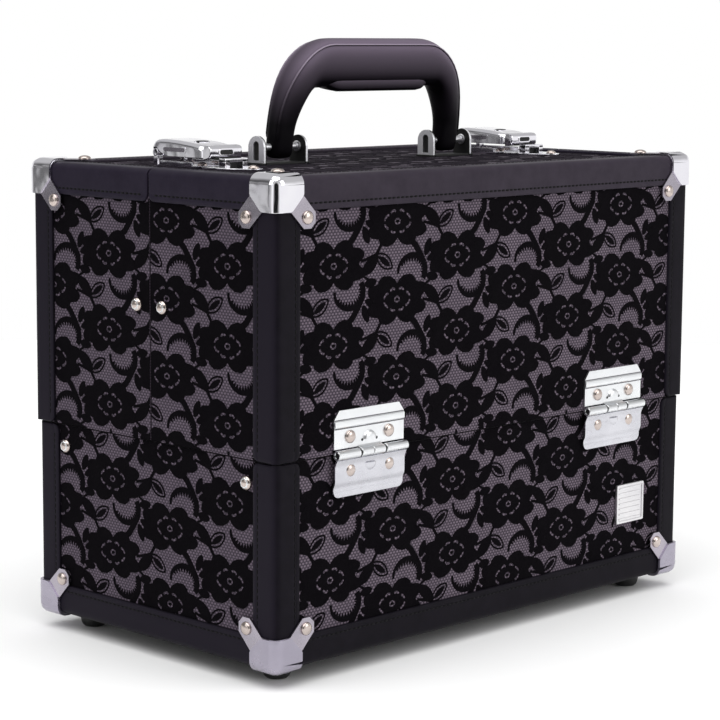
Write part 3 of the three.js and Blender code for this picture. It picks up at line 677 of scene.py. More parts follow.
def lace_piece(name, put, body, u_span, v_span, material="lace"):
    """Lace over one face, cut off at the ends of u_span and v_span."""
    bm = bmesh.new()
    for cu, cv, up in lace_motifs(u_span, v_span):
        for loops, height in LACE_SHAPES:
            shape = [[(cu + u, cv + up * v) for u, v in loop] for loop in loops]
            us, vs = zip(*shape[0])
            if max(us) < u_span[0] or min(us) > u_span[1] or max(vs) < v_span[0] or min(vs) > v_span[1]:
                continue
            slab(bm, shape, lambda u, v, h: Vector((u, v, h)), 0.01, height)
    for axis, value, sign in ((0, u_span[0], -1), (0, u_span[1], 1), (1, v_span[0], -1), (1, v_span[1], 1)):
        at, normal = [0, 0, 0], [0, 0, 0]
        at[axis], normal[axis] = value, sign
        found = bmesh.ops.bisect_plane(bm, geom=bm.verts[:] + bm.edges[:] + bm.faces[:], plane_co=at,
                                       plane_no=normal, clear_outer=True, dist=1e-5)
        rim = [e for e in found["geom_cut"] if isinstance(e, bmesh.types.BMEdge) and e.is_boundary]
        if rim:
            bmesh.ops.holes_fill(bm, edges=rim, sides=0)
    for vert in bm.verts:
        vert.co = put(*vert.co)
    add_object(name, bm, material, body, "lace_panel", smooth=30)


HIDDEN = 9.0      # the lace stops this far in from an edge, under the leather strip


def make_lace():
    inset, middle = S["inset"], S["middle"]
    for tag in ("base", "lid"):
        base = tag == "base"
        hx, hy = S[tag]
        bottom = S["foot"] + HIDDEN if base else S["lid_low"]
        top = S["rim"] if base else S["top"] - HIDDEN
        for side, sy in SIDES:
            put = facing((0, sy * (hy - inset), 0), (0, sy, 0))
            lace_piece(f"lace_{tag}_{side}", put, "base" if base else f"{side}_lid",
                       (-hx + HIDDEN, hx - HIDDEN), (bottom, top))
        for end, sx in ENDS:
            put = facing((sx * (hx - inset), 0, 0), (sx, 0, 0))
            halves = [("", "base", -hy + HIDDEN, hy - HIDDEN)] if base else [
                ("_front", "front_lid", -hy + HIDDEN, middle), ("_rear", "rear_lid", -middle, hy - HIDDEN)]
            for half, body, y0, y1 in halves:
                span = (y0, y1) if sx > 0 else (-y1, -y0)
                lace_piece(f"lace_{tag}_{end}{half}", put, body, span, (bottom, top))
    hx, hy = S["lid"]
    for half, span in (("front", (-hy + HIDDEN, middle)), ("rear", (-middle, hy - HIDDEN))):
        lace_piece(f"lace_top_{half}", level(0, 0, S["plate"]), f"{half}_lid", (-hx + HIDDEN, hx - HIDDEN),
                   span, "lace_top")


# ---- Fabric on the CAD panels


def cover_panels():
    made = {}

    def cover(nodes, kind, across, up, depth=None, colors=(NET_DARK, NET_LIGHT)):
        for node in nodes:
            if kind not in made:
                made[kind] = net_fabric(f"net_{kind}", across, up, depth, colors)
            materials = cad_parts[node].data.materials
            materials.clear()
            materials.append(made[kind])

    x, y, z = (1, 0, 0), (0, 1, 0), (0, 0, 1)
    for tag in ("base", "lid"):
        base = tag == "base"
        face_x, face_y = (half - S["inset"] for half in S[tag])
        for side, sy in SIDES:
            cover([f"base_{side}_panel" if base else f"{side}_lid_face_panel"], f"{tag}_{side}", x, z,
                  ((0, sy, 0), face_y))
        for end, sx in ENDS:
            nodes = [f"base_{end}_panel"] if base else [f"{side}_lid_{end}_panel" for side, _ in SIDES]
            # the end faces' net takes the painted-shade colour
            cover(nodes, f"{tag}_{end}", y, z, ((sx, 0, 0), face_x), (NET_DARK, END_NET_LIGHT_SHADED))
    cover([f"{side}_lid_top_panel" for side, _ in SIDES], "top", x, y, (z, S["plate"]), (TOP_DARK, TOP_LIGHT))
    cover(["base_floor"], "floor", x, y, (z, S["plate"]))


# ---- Leather strips

HEM = 9.0               # a free end draws back only what lies further in than this
HEM_END = 4.0           # the radius of a free end's corners
HEM_EASE = (0.0, 0.35, 0.9, 1.8, 2.9, HEM_END)
STITCH_AT = 13.6        # the stitches' distance in from the edge, and their spacing
STITCH_PITCH = 3.3
CAP_CLEAR = 6.0         # a strip's end lies this far in from the corner, under its cap


def strip_section():
    """The strip's closed section, as pairs of distances in from face A and in from face B."""
    groove = [(STRIP, WRAP), (STRIP, 0.55), (STRIP - 0.2, 0.2), (STRIP - 0.6, 0.05), (STRIP - 2.2, 0.0),
              (STITCH_AT + 0.75, 0.04), (STITCH_AT, 0.2), (STITCH_AT - 0.75, 0.04), (STITCH_AT - 2, 0.0),
              (9.0, 0.0), (6.0, 0.02)]

    def bend(radius, angles):
        return [(CORNER - radius * math.sin(math.radians(a)), CORNER - radius * math.cos(math.radians(a)))
                for a in angles]

    side = groove + bend(CORNER, (0, 15, 30, 45))
    return side + [(b, a) for a, b in reversed(side[:-1])] + bend(CORNER - WRAP, (90, 60, 30, 0))


STRIP_SECTION = strip_section()


def strip(bm, corner, along, in_a, in_b, length, free, material):
    """Sweeps the section along an edge. in_a runs over face A away from the edge, in_b over face B.
    A free end is rounded off; the other ends lie under a metal cap."""
    start, along, in_a, in_b = Vector(corner), Vector(along), Vector(in_a), Vector(in_b)
    marks = [(t, t) for t in HEM_EASE] if free[0] else [(0, HEM_END)]
    marks += [(length - t, t) for t in reversed(HEM_EASE)] if free[1] else [(length, HEM_END)]
    sections = []
    for at, t in marks:
        reach = STRIP - (HEM_END - math.sqrt(max(HEM_END ** 2 - (HEM_END - t) ** 2, 0)))
        sink = 0.5 * max(0.0, 1 - t / 0.9) ** 2
        points = []
        for a, b in STRIP_SECTION:
            pa, pb = (c if c < HEM else HEM + (c - HEM) * (reach - HEM) / (STRIP - HEM) for c in (a, b))
            if b < WRAP * 0.5 and a >= CORNER:
                pb += sink
            elif a < WRAP * 0.5 and b >= CORNER:
                pa += sink
            points.append(start + along * at + in_a * pa + in_b * pb)
        sections.append(points)
    loop_tube(bm, sections, material)


def stitches(bm, corner, along, over, inward, span):
    """A row of thread stitches: over runs across the face away from the edge, inward is into it."""
    start, along, over, inward = Vector(corner), Vector(along), Vector(over), Vector(inward)
    for i in range(int((span[1] - span[0]) / STITCH_PITCH)):
        middle = start + along * (span[0] + (i + 0.5) * STITCH_PITCH) + over * STITCH_AT + inward * 0.1
        rings = []
        for t, r in ((-1.25, 0.16), (-0.85, 0.5), (0.85, 0.5), (1.25, 0.16)):
            rings.append([middle + along * t + over * (r * math.cos(TAU * k / 6))
                          + inward * (r * 0.55 * math.sin(TAU * k / 6)) for k in range(6)])
        loop_tube(bm, rings, material=1)


def strip_run(bm, corner, along, in_a, in_b, length, free=(False, False), material=0):
    """A strip with a row of stitches on each of its two sides."""
    strip(bm, corner, along, in_a, in_b, length, free, material)
    margin = [4.5 if loose else 10.0 for loose in free]
    span = (margin[0], length - margin[1])
    stitches(bm, corner, along, in_a, in_b, span)
    stitches(bm, corner, along, in_b, in_a, span)


def base_strips():
    bm = bmesh.new()
    hx, hy = S["base"]
    low, rim = S["foot"], S["rim"]
    for sy in (-1, 1):
        strip_run(bm, (-hx + CAP_CLEAR, sy * hy, low), (1, 0, 0), UP, (0, -sy, 0), 2 * (hx - CAP_CLEAR))
    for sx in (-1, 1):
        strip_run(bm, (sx * hx, -hy + CAP_CLEAR, low), (0, 1, 0), UP, (-sx, 0, 0), 2 * (hy - CAP_CLEAR))
        for sy in (-1, 1):
            strip_run(bm, (sx * hx, sy * hy, low + CAP_CLEAR), UP, (-sx, 0, 0), (0, -sy, 0),
                      rim - low - CAP_CLEAR, (False, True))
    add_object("base_binding", bm, "leather thread", "base", "binding_leather", ["base_edge_binding"], smooth=50)


def lid_strips(side):
    bm = bmesh.new()
    hx, hy = S["lid"]
    low, top, middle = S["lid_low"], S["top"], S["middle"]
    free = (True, False)
    strip_run(bm, (-hx + CAP_CLEAR, -hy, top), (1, 0, 0), (0, 0, -1), (0, 1, 0), 2 * (hx - CAP_CLEAR), material=2)
    for sx in (-1, 1):
        strip_run(bm, (sx * hx, middle, top), (0, -1, 0), (0, 0, -1), (-sx, 0, 0), hy + middle - CAP_CLEAR,
                  free, material=3)
        strip_run(bm, (sx * hx, -hy, low), UP, (-sx, 0, 0), (0, 1, 0), top - low - CAP_CLEAR, free)
    if side == "rear":
        scaled(bm, y=-1)
    add_object(f"{side}_lid_binding", bm, "leather thread rail end_rail", f"{side}_lid", "binding_leather",
               [f"{side}_lid_edge_binding"], smooth=50)


# ---- Corner caps

CAP_LIFT = 1.1      # the tabs' front, and their back, stand this far off the case
CAP_GAP = 0.3
CAP_BLOCK = 0.75    # the block round the corner stands this much further off
CAP_RIVET = 20.4
CAP_TABS = [(-5, -5), (17.5, -5), (17.5, 9.2), (26, 18), (26, 23), (23, 26), (18, 26), (9.2, 17.5), (-5, 17.5)]
CAP_BODY = [(-5, -5), (17.3, -5), (17.3, 8.6), (16.6, 9.9), (9.9, 16.6), (8.6, 17.3), (-5, 17.3)]
CAP_SQUARE = [(-5, -5), (12.5, -5), (12.5, 12.5), (-5, 12.5)]
CAP_FACES = {       # outlines run in from the corner's two edges
    "front": lambda a, b, h: Vector((a, h, -b)),
    "end": lambda a, b, h: Vector((h, a, -b)),
    "flat": lambda a, b, h: Vector((a, b, h)),
}


def rounded_shell(lift, reach, steps=6):
    """The outside of a box corner at the origin, its faces running to +X, +Y and -Z, grown by lift."""
    bm = bmesh.new()
    block(bm, (-lift, -lift, -reach), (reach, reach, lift))
    bounds = ((0, -lift), (1, -lift), (2, lift))
    near = [e for e in bm.edges
            if sum(all(abs(v.co[k] - bound) < 1e-6 for v in e.verts) for k, bound in bounds) >= 2]
    bmesh.ops.bevel(bm, geom=near, offset=CORNER + lift, segments=steps, profile=0.5, affect="EDGES")
    return to_object(bm)


def prism(face, outline, depth=7.0):
    """An outline extruded through one of the corner's faces."""
    bm = bmesh.new()
    slab(bm, [outline], CAP_FACES[face], -depth, depth)
    return to_object(bm)


def to_object(bm):
    bmesh.ops.recalc_face_normals(bm, faces=bm.faces)
    return placed("part", mesh_of(bm, "part"))


def combine(first, others, operation):
    """Joins or cuts first exactly by others, and removes all of them."""
    for other in others:
        step = first.modifiers.new("cut", "BOOLEAN")
        step.operation, step.object, step.solver = operation, other, "EXACT"
    mesh = modified(first)
    for other in [first, *others]:
        bpy.data.objects.remove(other)
    bm = bmesh_of(mesh)
    bmesh.ops.remove_doubles(bm, verts=bm.verts, dist=1e-4)
    return to_object(bm)


def cap_mesh(foot):
    """A pressed corner cap at the origin: a proud block round the corner, and thinner riveted tabs."""
    layers = []
    for outline, lift in ((CAP_TABS, CAP_LIFT), (CAP_BODY, CAP_LIFT + CAP_BLOCK)):
        front, end, flat = (prism(face, CAP_SQUARE if foot and face == "flat" else outline) for face in CAP_FACES)
        area = combine(front, [end, flat], "UNION")
        shell = combine(rounded_shell(lift, 60), [rounded_shell(CAP_GAP, 70)], "DIFFERENCE")
        layers.append(combine(shell, [area], "INTERSECT"))
    piece = combine(layers[0], layers[1:], "UNION")
    add_bevel(piece, 0.28, 2, 30)
    mesh = modified(piece)
    bpy.data.objects.remove(piece)
    out = bmesh_of(mesh)
    for face in out.faces:
        a, b = sorted(abs(c) for c in face.calc_center_median())[1:]
        face.material_index = 2 if a > 8 and a + b > 27.6 else 0
    return out


def cap_rivets(bm, foot):
    puts = [facing((CAP_RIVET, -CAP_LIFT, -CAP_RIVET), FORWARD),
            facing((-CAP_LIFT, CAP_RIVET, -CAP_RIVET), (-1, 0, 0))]
    if not foot:
        puts.append(level(CAP_RIVET, CAP_RIVET, CAP_LIFT))
    for put in puts:
        rivet(bm, 3.5, 1.95, put, 22)


def make_caps():
    made = {}
    for foot in (False, True):
        made[foot] = cap_mesh(foot)
        cap_rivets(made[foot], foot)
    for side, sy in SIDES:
        for end, sx in ENDS:
            for foot, place, metal_name, slot, body in (
                    (False, "top", "chrome", "chrome", f"{side}_lid"),
                    (True, "bottom", "satin", "satin_metal", "base")):
                hx, hy = S["base"] if foot else S["lid"]
                bm = made[foot].copy()
                if foot:
                    scaled(bm, z=-1)
                shifted(bm, -hx, -hy, S["foot"] if foot else S["top"])
                scaled(bm, -sx, -sy)
                add_object(f"{place}_cap_{side}_{end}", bm, f"{metal_name} dome tab", body, slot,
                           [f"{place}_corner_cap_{side}_{end}"], smooth=32, crisp=True)
    for bm in made.values():
        bm.free()


# ---- Feet and badge


def make_feet():
    for side, _ in SIDES:
        for end, _ in ENDS:
            node = f"foot_{side}_{end}"
            low, high = mm_box(node)
            radius, h = (high[0] - low[0]) / 2, high[2]
            profile = [(0, 0.9), (2.2, 0.9), (2.6, 0.0), (4.2, 0.0), (5.6, 0.35), (6.6, 1.3), (7.2, 2.6),
                       (radius - 0.15, 4.4), (radius, 5.8), (radius, 6.6), (radius - 0.5, 6.9),
                       (radius - 0.5, 7.3), (radius, 7.6), (radius, h), (0, h)]
            bm = bmesh.new()
            lathe(bm, profile, level((low[0] + high[0]) / 2, (low[1] + high[1]) / 2, 0), 32)
            add_object(f"rubber_{node}", bm, "rubber", "base", "foot_rubber", [node], smooth=40)


def make_badge(ribs=7):
    """A plain rectangular plate with a raised frame and a few level ribs."""
    low, high = mm_box("badge_plate")
    w, h = (high[0] - low[0]) / 2, (high[2] - low[2]) / 2
    put = facing(((low[0] + high[0]) / 2, high[1], (low[2] + high[2]) / 2), FORWARD)
    bm = bmesh.new()
    slab(bm, [round_rect(w, h, 0.8)], put, 0, 1.0)
    slab(bm, [round_rect(w - 0.05, h - 0.05, 0.8), round_rect(w - 1.3, h - 1.3, 0.4)], put, 0.98, 1.5)
    for i in range(ribs):
        v = (i - (ribs - 1) / 2) * 2 * (h - 2.4) / (ribs - 1)
        slab(bm, [round_rect(w - 2.6, 0.5, 0.45, 3, v)], put, 0.98, 1.4)
    add_object("ribbed_badge", bm, "badge", "base", "satin_metal", ["badge_plate"], bevel=(0.12, 2), crisp=True)


# ---- Hinges

LEAF = 25.7          # half a leaf's width
LEAF_FACE = 1.6      # the leaves' front face lies this far behind the pin
HINGE_OUT = 1.3      # the pin lies this far outside the lid
KNUCKLE = 2.5        # the knuckles' radius
BARREL = 8.5         # half the width of the upper leaf's knuckle
BUMP_AT = 6.2        # the stop bumps' distance from the pin, up and down
HEAD_AT = (14.3, 8.7)      # the rivets' distances from the leaf's middle and from the pin


def bent_sheet(bm, profile, width, thickness, rounding, steps=9):
    """A bent sheet: profile is (out, up) points of its front face from the bottom up. The lowest
    corners are rounded by rounding."""
    fronts, backs = [], []
    for i, (out, up) in enumerate(profile):
        ax, az = profile[max(i - 1, 0)]
        bx, bz = profile[min(i + 1, len(profile) - 1)]
        d = math.hypot(bx - ax, bz - az)
        nx, nz = -(bz - az) / d, (bx - ax) / d
        half, t = width, up - profile[0][1]
        if t < rounding:
            half -= rounding - math.sqrt(max(rounding ** 2 - (rounding - t) ** 2, 0))
        xs = [-half + 2 * half * k / steps for k in range(steps + 1)]
        fronts.append([bm.verts.new((x, out, up)) for x in xs])
        backs.append([bm.verts.new((x, out - nx * thickness, up - nz * thickness)) for x in xs])
    for rows, turn in ((fronts, 1), (backs, -1)):
        for a, b in zip(rows, rows[1:]):
            for k in range(steps):
                bm.faces.new((a[k], a[k + 1], b[k + 1], b[k])[::turn])
    for i in range(len(profile) - 1):
        for k, a, b in ((0, i, i + 1), (steps, i + 1, i)):
            bm.faces.new((fronts[a][k], fronts[b][k], backs[b][k], backs[a][k]))
    for k in range(steps):
        for row, a, b in ((0, k + 1, k), (-1, k, k + 1)):
            bm.faces.new((fronts[row][a], fronts[row][b], backs[row][b], backs[row][a]))


def rod_x(bm, y, z, radius, span, steps=20, bore=0.0, material=0):
    """A rod along X with eased ends and, if bore is given, a recessed end face."""
    length = span[1] - span[0]
    c = min(0.25, radius * 0.4)
    profile = [(radius - c, 0), (radius, c), (radius, length - c), (radius - c, length)]
    if bore:
        profile = [(0, 0.8), (bore, 0.8), (bore, 0), *profile,
                   (bore, length), (bore, length - 0.8), (0, length - 0.8)]
    else:
        profile = [(0, 0), *profile, (0, length)]
    lathe(bm, profile, facing((span[0], y, z), (1, 0, 0)), steps, material)


def stop_bump(bm, put, v, h, sense, steps=14):
    """The pressed stop bump: a half dome with its flat cheek towards the knuckle, and the two pierced
    corners where it is sheared out of its leaf. It stands on height h, and its round side faces sense."""
    radius, out = 4.3, 1.7
    rings = []
    for lift, scale in ((-0.3, 1.12), (0.0, 1.1), (out * 0.45, 1.0), (out * 0.8, 0.82), (out, 0.5)):
        angles = [math.pi * i / steps for i in range(steps + 1)]
        rings.append([put(radius * scale * math.cos(a), v + sense * radius * scale * 0.95 * math.sin(a), h + lift)
                      for a in angles])
    loop_tube(bm, rings)
    # the pierced corners are dark ovals: painted shade
    for u in (-5.3, 5.3):
        slab(bm, [oval(u, v - sense * 0.2, 0.85, 0.75, 0, 10)], put, h - 0.1, h + 0.05, material=3)


def hinge_upper(bm, pin_y, pin_z):
    back = LEAF_FACE + 1.0
    clip_x, clip_z, rise = 3.6, 4.7, 22.8
    put = facing((0, pin_y + back, pin_z), FORWARD)
    slab(bm, [[(-LEAF, 2.9), (LEAF, 2.9), (LEAF, rise - clip_z), (LEAF - clip_x, rise),
               (-LEAF + clip_x, rise), (-LEAF, rise - clip_z)]], put, 0, 1.0)
    neck = [(0.0, 0.8), (back, 2.4), (back, 3.6), (LEAF_FACE, 3.6), (1.2, 2.9), (0.6, 2.45), (0.0, 2.45)]
    loop_tube(bm, [[(x, pin_y + y, pin_z + z) for y, z in neck] for x in (-BARREL, BARREL)])
    rib = [(13.5, 0.95), (13.9, 1.45), (14.5, 1.72), (16.7, 1.72), (17.3, 1.45), (17.7, 0.95)]
    loop_tube(bm, [[put(u, v, h) for v, h in rib] for u in (-LEAF + 0.1, LEAF - 0.1)])
    # two dark lines bounding the rib: painted shade of its grooves
    for v in (13.25, 17.85):
        slab(bm, [round_rect(LEAF - 0.1, 0.26, 0.1, 1, v)], put, 0.9, 1.04, material=2)
    stop_bump(bm, put, BUMP_AT, 1.0, 1)
    for span in ((-BARREL, -0.18), (0.18, BARREL)):
        rod_x(bm, pin_y, pin_z, KNUCKLE, span, 22)
    # a dark ring in the gap between the knuckles: painted shade
    rod_x(bm, pin_y, pin_z, KNUCKLE - 0.35, (-0.3, 0.3), 16, material=2)


def hinge_lower(bm, pin_y, pin_z):
    face = LEAF_FACE
    profile = [(3.0, -22.2), (2.85, -21.4), (2.8, -20), (2.9, -18.6), (2.85, -17.2), (2.35, -15.9), (1.8, -14.8),
               (face, -13.6), (face, -9), (face, -6.4), (1.35, -5.2), (0.8, -3.9), (0.35, -3.0), (0.0, -2.3)]
    points = []
    for (ax, az), (bx, bz) in zip(profile, profile[1:]):
        points += [(ax, az), ((ax + bx) / 2, (az + bz) / 2)]
    bent_sheet(bm, [*points, profile[-1]], LEAF, -0.85, 3.6)
    shifted(bm, 0, pin_y, pin_z)
    for sx in (-1, 1):
        rod_x(bm, pin_y, pin_z, KNUCKLE, sorted((sx * (BARREL + 1.2), sx * LEAF)), 22, bore=1.75, material=4)
        rod_x(bm, pin_y, pin_z, 1.7, sorted((sx * (BARREL - 1), sx * (LEAF - 0.7))), 14, material=3)
    put = facing((0, pin_y + face, pin_z), FORWARD)
    stop_bump(bm, put, -BUMP_AT, 0.0, -1)
    slab(bm, [arc(0, -7.4, 5.9, 5.9, 190, 350, 16) + arc(0, -7.4, 5.2, 5.2, 350, 190, 16)], put, -0.1, 0.16)


def make_hinges():
    pin_y, pin_z = -(S["lid"][1] + HINGE_OUT), S["split"]
    for side, sy in SIDES:
        for end, _ in ENDS:
            low, high = mm_box(f"lower_hinge_leaf_{side}_{end}")
            for part, build, body, sheet, sense in (("upper", hinge_upper, f"{side}_lid", "steel", 1),
                                                    ("lower", hinge_lower, "base", "leaf", -1)):
                node = f"{part}_hinge_leaf_{side}_{end}"
                bm = bmesh.new()
                build(bm, pin_y, pin_z)
                for u in (-HEAD_AT[0], HEAD_AT[0]):
                    rivet(bm, 3.45, 1.95, facing((u, pin_y + LEAF_FACE, pin_z + sense * HEAD_AT[1]), FORWARD), 22)
                scaled(bm, y=-sy)
                shifted(bm, (low[0] + high[0]) / 2, 0, 0)
                add_object(f"steel_{node}", bm, f"{sheet} dome groove shadow steel", body, "plated_steel", [node],
                           smooth=32, crisp=True)


# ---- Trays and links


def make_trays():
    for side, _ in SIDES:
        for tier in ("lower", "upper"):
            node = f"{side}_{tier}_tray"
            low, high = mm_box(node)
            cx, cy = (low[0] + high[0]) / 2, (low[1] + high[1]) / 2
            hw, hd, deep = (high[0] - low[0]) / 2, (high[1] - low[1]) / 2, high[2] - low[2]
            put = level(cx, cy, low[2])
            # half width, half depth, corner radius and height, up the outside and down into the hollow
            shell = [(hw - 1.2, hd - 1.2, 2.8, 0.0), (hw - 0.35, hd - 0.35, 3.65, 0.35), (hw, hd, 4, 1.2),
                     (hw, hd, 4, deep - 3.2), (hw, hd, 4, deep - 0.5), (hw - 0.5, hd - 0.5, 3.5, deep),
                     (hw - 1.5, hd - 1.5, 2.5, deep), (hw - 2, hd - 2, 2.0, deep - 0.5),
                     (hw - 2, hd - 2, 2.0, 3.6), (hw - 2.6, hd - 2.6, 1.8, 2.4), (hw - 4, hd - 4, 1.5, 2.0)]
            bm = bmesh.new()
            loop_tube(bm, [[put(u, v, h) for u, v in round_rect(w, d, r, 5)] for w, d, r, h in shell])
            for k in (1, 2, 3):         # dividers
                x = cx - hw + 2 * hw * k / 4
                block(bm, (x - 0.8, cy - hd + 2.2, low[2] + 1.9), (x + 0.8, cy + hd - 2.2, low[2] + deep * 0.72))
            add_object(f"moulded_{node}", bm, "tray", node, "tray_plastic", [node])


LINK_FOOT = (-72.5, -12.0)      # the front links' outer rivets: Y, and height above the split
LINK_TOP = (-10.0, 71.6)


def make_links():
    """The CAD links in steel, and the heads of their rivets on the outside of the case."""
    for node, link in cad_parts.items():
        if "_link_" not in node:
            continue
        link.data.materials.clear()
        link.data.materials.append(MAT["steel"])
        side, kind, _, end = node.split("_")
        inner = kind == "inner"
        sx, sy = dict(ENDS)[end], dict(SIDES)[side]
        y, rise = LINK_FOOT if inner else LINK_TOP
        face_x = S["base" if inner else "lid"][0] - S["inset"]
        bm = bmesh.new()
        rivet(bm, 3.75, 2.55, facing((sx * (face_x + 0.35), -sy * y, S["split"] + rise), (sx, 0, 0)), 24, 0)
        add_object(f"{side}_{kind}_rivet_{end}", bm, "dome", f"{side}_link_{end}" if inner else f"{side}_lid",
                   "plated_steel", smooth=40)


# ---- Carry handle

HANDLE_Y = 7.25
HANDLE_X = 67.75
HANDLE_PIVOT = 8.0
HANDLE_LEAN = math.radians(7.2)
HANDLE_OUTER = (74.6, 67.6)        # half width and top of the outer outline, and its corners' radii
OUTER_CORNER = (37.4, 49.9)
HANDLE_INNER = (59.2, 40.2)        # the same of the opening
INNER_CORNER = (12.8, 28.0)
LEG_DEPTH = 6.0                    # half depths, and the heights between which one becomes the other
GRIP_DEPTH = 9.9
GRIP_RISE = (18.8, 47.4)
FOOT_ROUNDING = ((2.0, 0.985), (3.7, 0.93), (5.1, 0.82), (5.8, 0.64), (6.2, 0.4))   # drop and scale
SEAM_AT = 0.79                     # the seam's place between the middle and the outer edge
PAD_BOTTOM = 38.4
PAD_HALF = (8.6, 4.2)              # half depth and half height of the finger pad
PAD_FLAT = 31                      # the pad tapers from here to its end
PAD_STATIONS = (0, 15, PAD_FLAT, 35, 39, 41.5, 43)
RING = [TAU * j / 24 for j in range(24)]


def handle_path(steps=13):
    """Points on the outer and the inner outline from the left foot over to the right one; height is
    measured from the lid's top edge."""
    (ow, ot), (iw, it), (a, b), (c, d) = HANDLE_OUTER, HANDLE_INNER, OUTER_CORNER, INNER_CORNER
    low = HANDLE_PIVOT
    pairs = [((-ow, low + (ot - b - low) * k / 4), (-iw, low + (it - d - low) * k / 4)) for k in range(5)]
    pairs += list(zip(arc(a - ow, ot - b, a, b, 180, 90, steps), arc(c - iw, it - d, c, d, 180, 90, steps)))[1:]
    pairs += [(((a - ow) * (1 - k / 3), ot), ((c - iw) * (1 - k / 3), it)) for k in (1, 2, 3)]
    return pairs + [((-o[0], o[1]), (-i[0], i[1])) for o, i in reversed(pairs[:-1])]


def handle_section(outer, inner):
    """The middle, in-plane reach, half depth and roundness of the handle at one station."""
    outer, inner = Vector((outer[0], 0, outer[1])), Vector((inner[0], 0, inner[1]))
    middle = (outer + inner) / 2
    rise = clamped((middle.z - GRIP_RISE[0]) / (GRIP_RISE[1] - GRIP_RISE[0]))
    ease = rise * rise * (3 - 2 * rise)
    return middle, (outer - inner) / 2, LEG_DEPTH + (GRIP_DEPTH - LEG_DEPTH) * ease, 0.78 + 0.04 * ease


def powered(value, power):
    return math.copysign(abs(value) ** power, value)


def handle_piece(name, bm, material="handle", **looks):
    """Leans a part of the handle about its pins, sets it on the lid, and makes it a piece."""
    turn = Matrix.Rotation(HANDLE_LEAN, 3, "X")
    pivot = Vector((0, 0, HANDLE_PIVOT))
    for vert in bm.verts:
        vert.co = turn @ (vert.co - pivot) + pivot + Vector((0, HANDLE_Y, S["top"]))
    add_object(name, bm, material, "carry_handle", "handle_leather", smooth=60, **looks)


def make_handle():
    bm = bmesh.new()
    sections, seam = [], []
    for outer, inner in handle_path():
        middle, reach, depth, power = handle_section(outer, inner)
        sections.append([middle + reach * powered(math.cos(turn), power)
                         + Vector((0, depth * powered(math.sin(turn), power), 0)) for turn in RING])
        across = SEAM_AT ** (1 / power)
        seam.append((middle + reach * SEAM_AT, depth * math.sqrt(1 - across * across) ** power))
    feet = []
    for ring in (sections[0], sections[-1]):
        cx = (sum(ring, Vector()) / len(ring)).x
        feet.append([[Vector((cx + (p.x - cx) * (0.55 + 0.45 * scale), p.y * scale, HANDLE_PIVOT - drop))
                      for p in ring] for drop, scale in FOOT_ROUNDING])
    loop_tube(bm, feet[0][::-1] + sections + feet[1])
    handle_piece("leather_carry_handle", bm, replaces=["carry_handle"], subdivide=1)

    bm = bmesh.new()
    for sy in (-1, 1):
        line = [point + Vector((0, sy * y, 0)) for point, y in seam[2:-2]]
        last = len(line) - 1
        rings = []
        for k, p in enumerate(line):
            along = (line[min(k + 1, last)] - line[max(k - 1, 0)]).normalized()
            side = Vector((0, 1, 0))
            other = along.cross(side).normalized()
            size = 0.65 if 0 < k < last else 0.15
            rings.append([p + side * size * math.cos(turn) + other * size * math.sin(turn) for turn in RING[::3]])
        loop_tube(bm, rings)
    handle_piece("handle_piping", bm, "seam")

    bm = bmesh.new()
    rings = []
    for x in [-x for x in PAD_STATIONS[:0:-1]] + list(PAD_STATIONS):
        shrink = clamped((abs(x) - PAD_FLAT) / 12) ** 2
        half_y, half_z = PAD_HALF[0] * (1 - 0.45 * shrink), PAD_HALF[1] * (1 - 0.5 * shrink)
        middle = PAD_BOTTOM + PAD_HALF[1] + 3.4 * shrink
        rings.append([(x, half_y * powered(math.cos(turn), 0.5), middle + half_z * powered(math.sin(turn), 0.6))
                      for turn in RING])
    loop_tube(bm, rings)
    handle_piece("handle_finger_pad", bm)


SOLE = S["plate"] + CAP_GAP        # the height on which brackets and latches stand
EAR = (14.6, 16.6)                 # a bracket ear's inner and outer side, from the bracket's middle
EAR_HALF = 6.25
EAR_RISE = 14.25


def make_brackets():
    """Two plates with upright arched ears, which have a dished outer side. The ears' inner sides, the dish's floor
    and the plates are painted dark, standing for shade.
    """
    for (end, _), cx in zip(ENDS, (-HANDLE_X, HANDLE_X)):
        bm = bmesh.new()
        inside, outside = EAR
        spring = S["top"] + EAR_RISE - EAR_HALF
        dish_half = EAR_HALF - 4.1
        arch = [(-EAR_HALF, SOLE), (EAR_HALF, SOLE), *arc(0, spring, EAR_HALF, EAR_HALF, 0, 180, 12)]
        dish = [(-dish_half, SOLE + 2.2), (dish_half, SOLE + 2.2),
                *arc(0, spring + 1.2, dish_half, dish_half, 0, 180, 12)]
        for sx in (-1, 1):
            put = lambda u, v, h, s=sx: Vector((cx + s * h, HANDLE_Y + u, v))
            # painted shade: a dark sheet on each ear's inner side
            slab(bm, [arch], put, inside, inside + 0.7, material=1)
            slab(bm, [arch, dish], put, inside + 0.65, outside)
            # painted shade: a dark floor in the dish
            slab(bm, [[(u * 0.99, v) for u, v in dish]], put, inside + 0.66, inside + 0.82, material=1)
            axle = facing((cx + sx * inside, HANDLE_Y, S["top"] + HANDLE_PIVOT), (-sx, 0, 0))
            lathe(bm, [(0, -0.3), (3.0, -0.3), (3.0, 0.7), (2.5, 1.1), (1.9, 1.25), (0, 1.25)], axle, 18)
        rod_x(bm, HANDLE_Y, S["top"] + HANDLE_PIVOT, 1.9, (cx - 14.7, cx + 14.7), 18)
        # painted shade: the plate between and round the ears is dark
        slab(bm, [round_rect(19, EAR_HALF, 1.6)], level(cx, HANDLE_Y, SOLE), 0, 1.0, material=1)
        add_object(f"chrome_handle_bracket_{end}", bm, "ear shadow", "rear_lid", "chrome",
                   [f"handle_bracket_{end}"], smooth=32, bevel=(0.18, 2), crisp=True)


# ---- Latches: each part takes its bmesh, the latch's middle cx and the height of the lid's top edge

LATCH_X = 121.0
LATCH_PIN = (35, 6)      # the lever's pin: Y, and height above the lid's top edge
KEEPER = (-17, -12)      # the keeper's catch, front to back


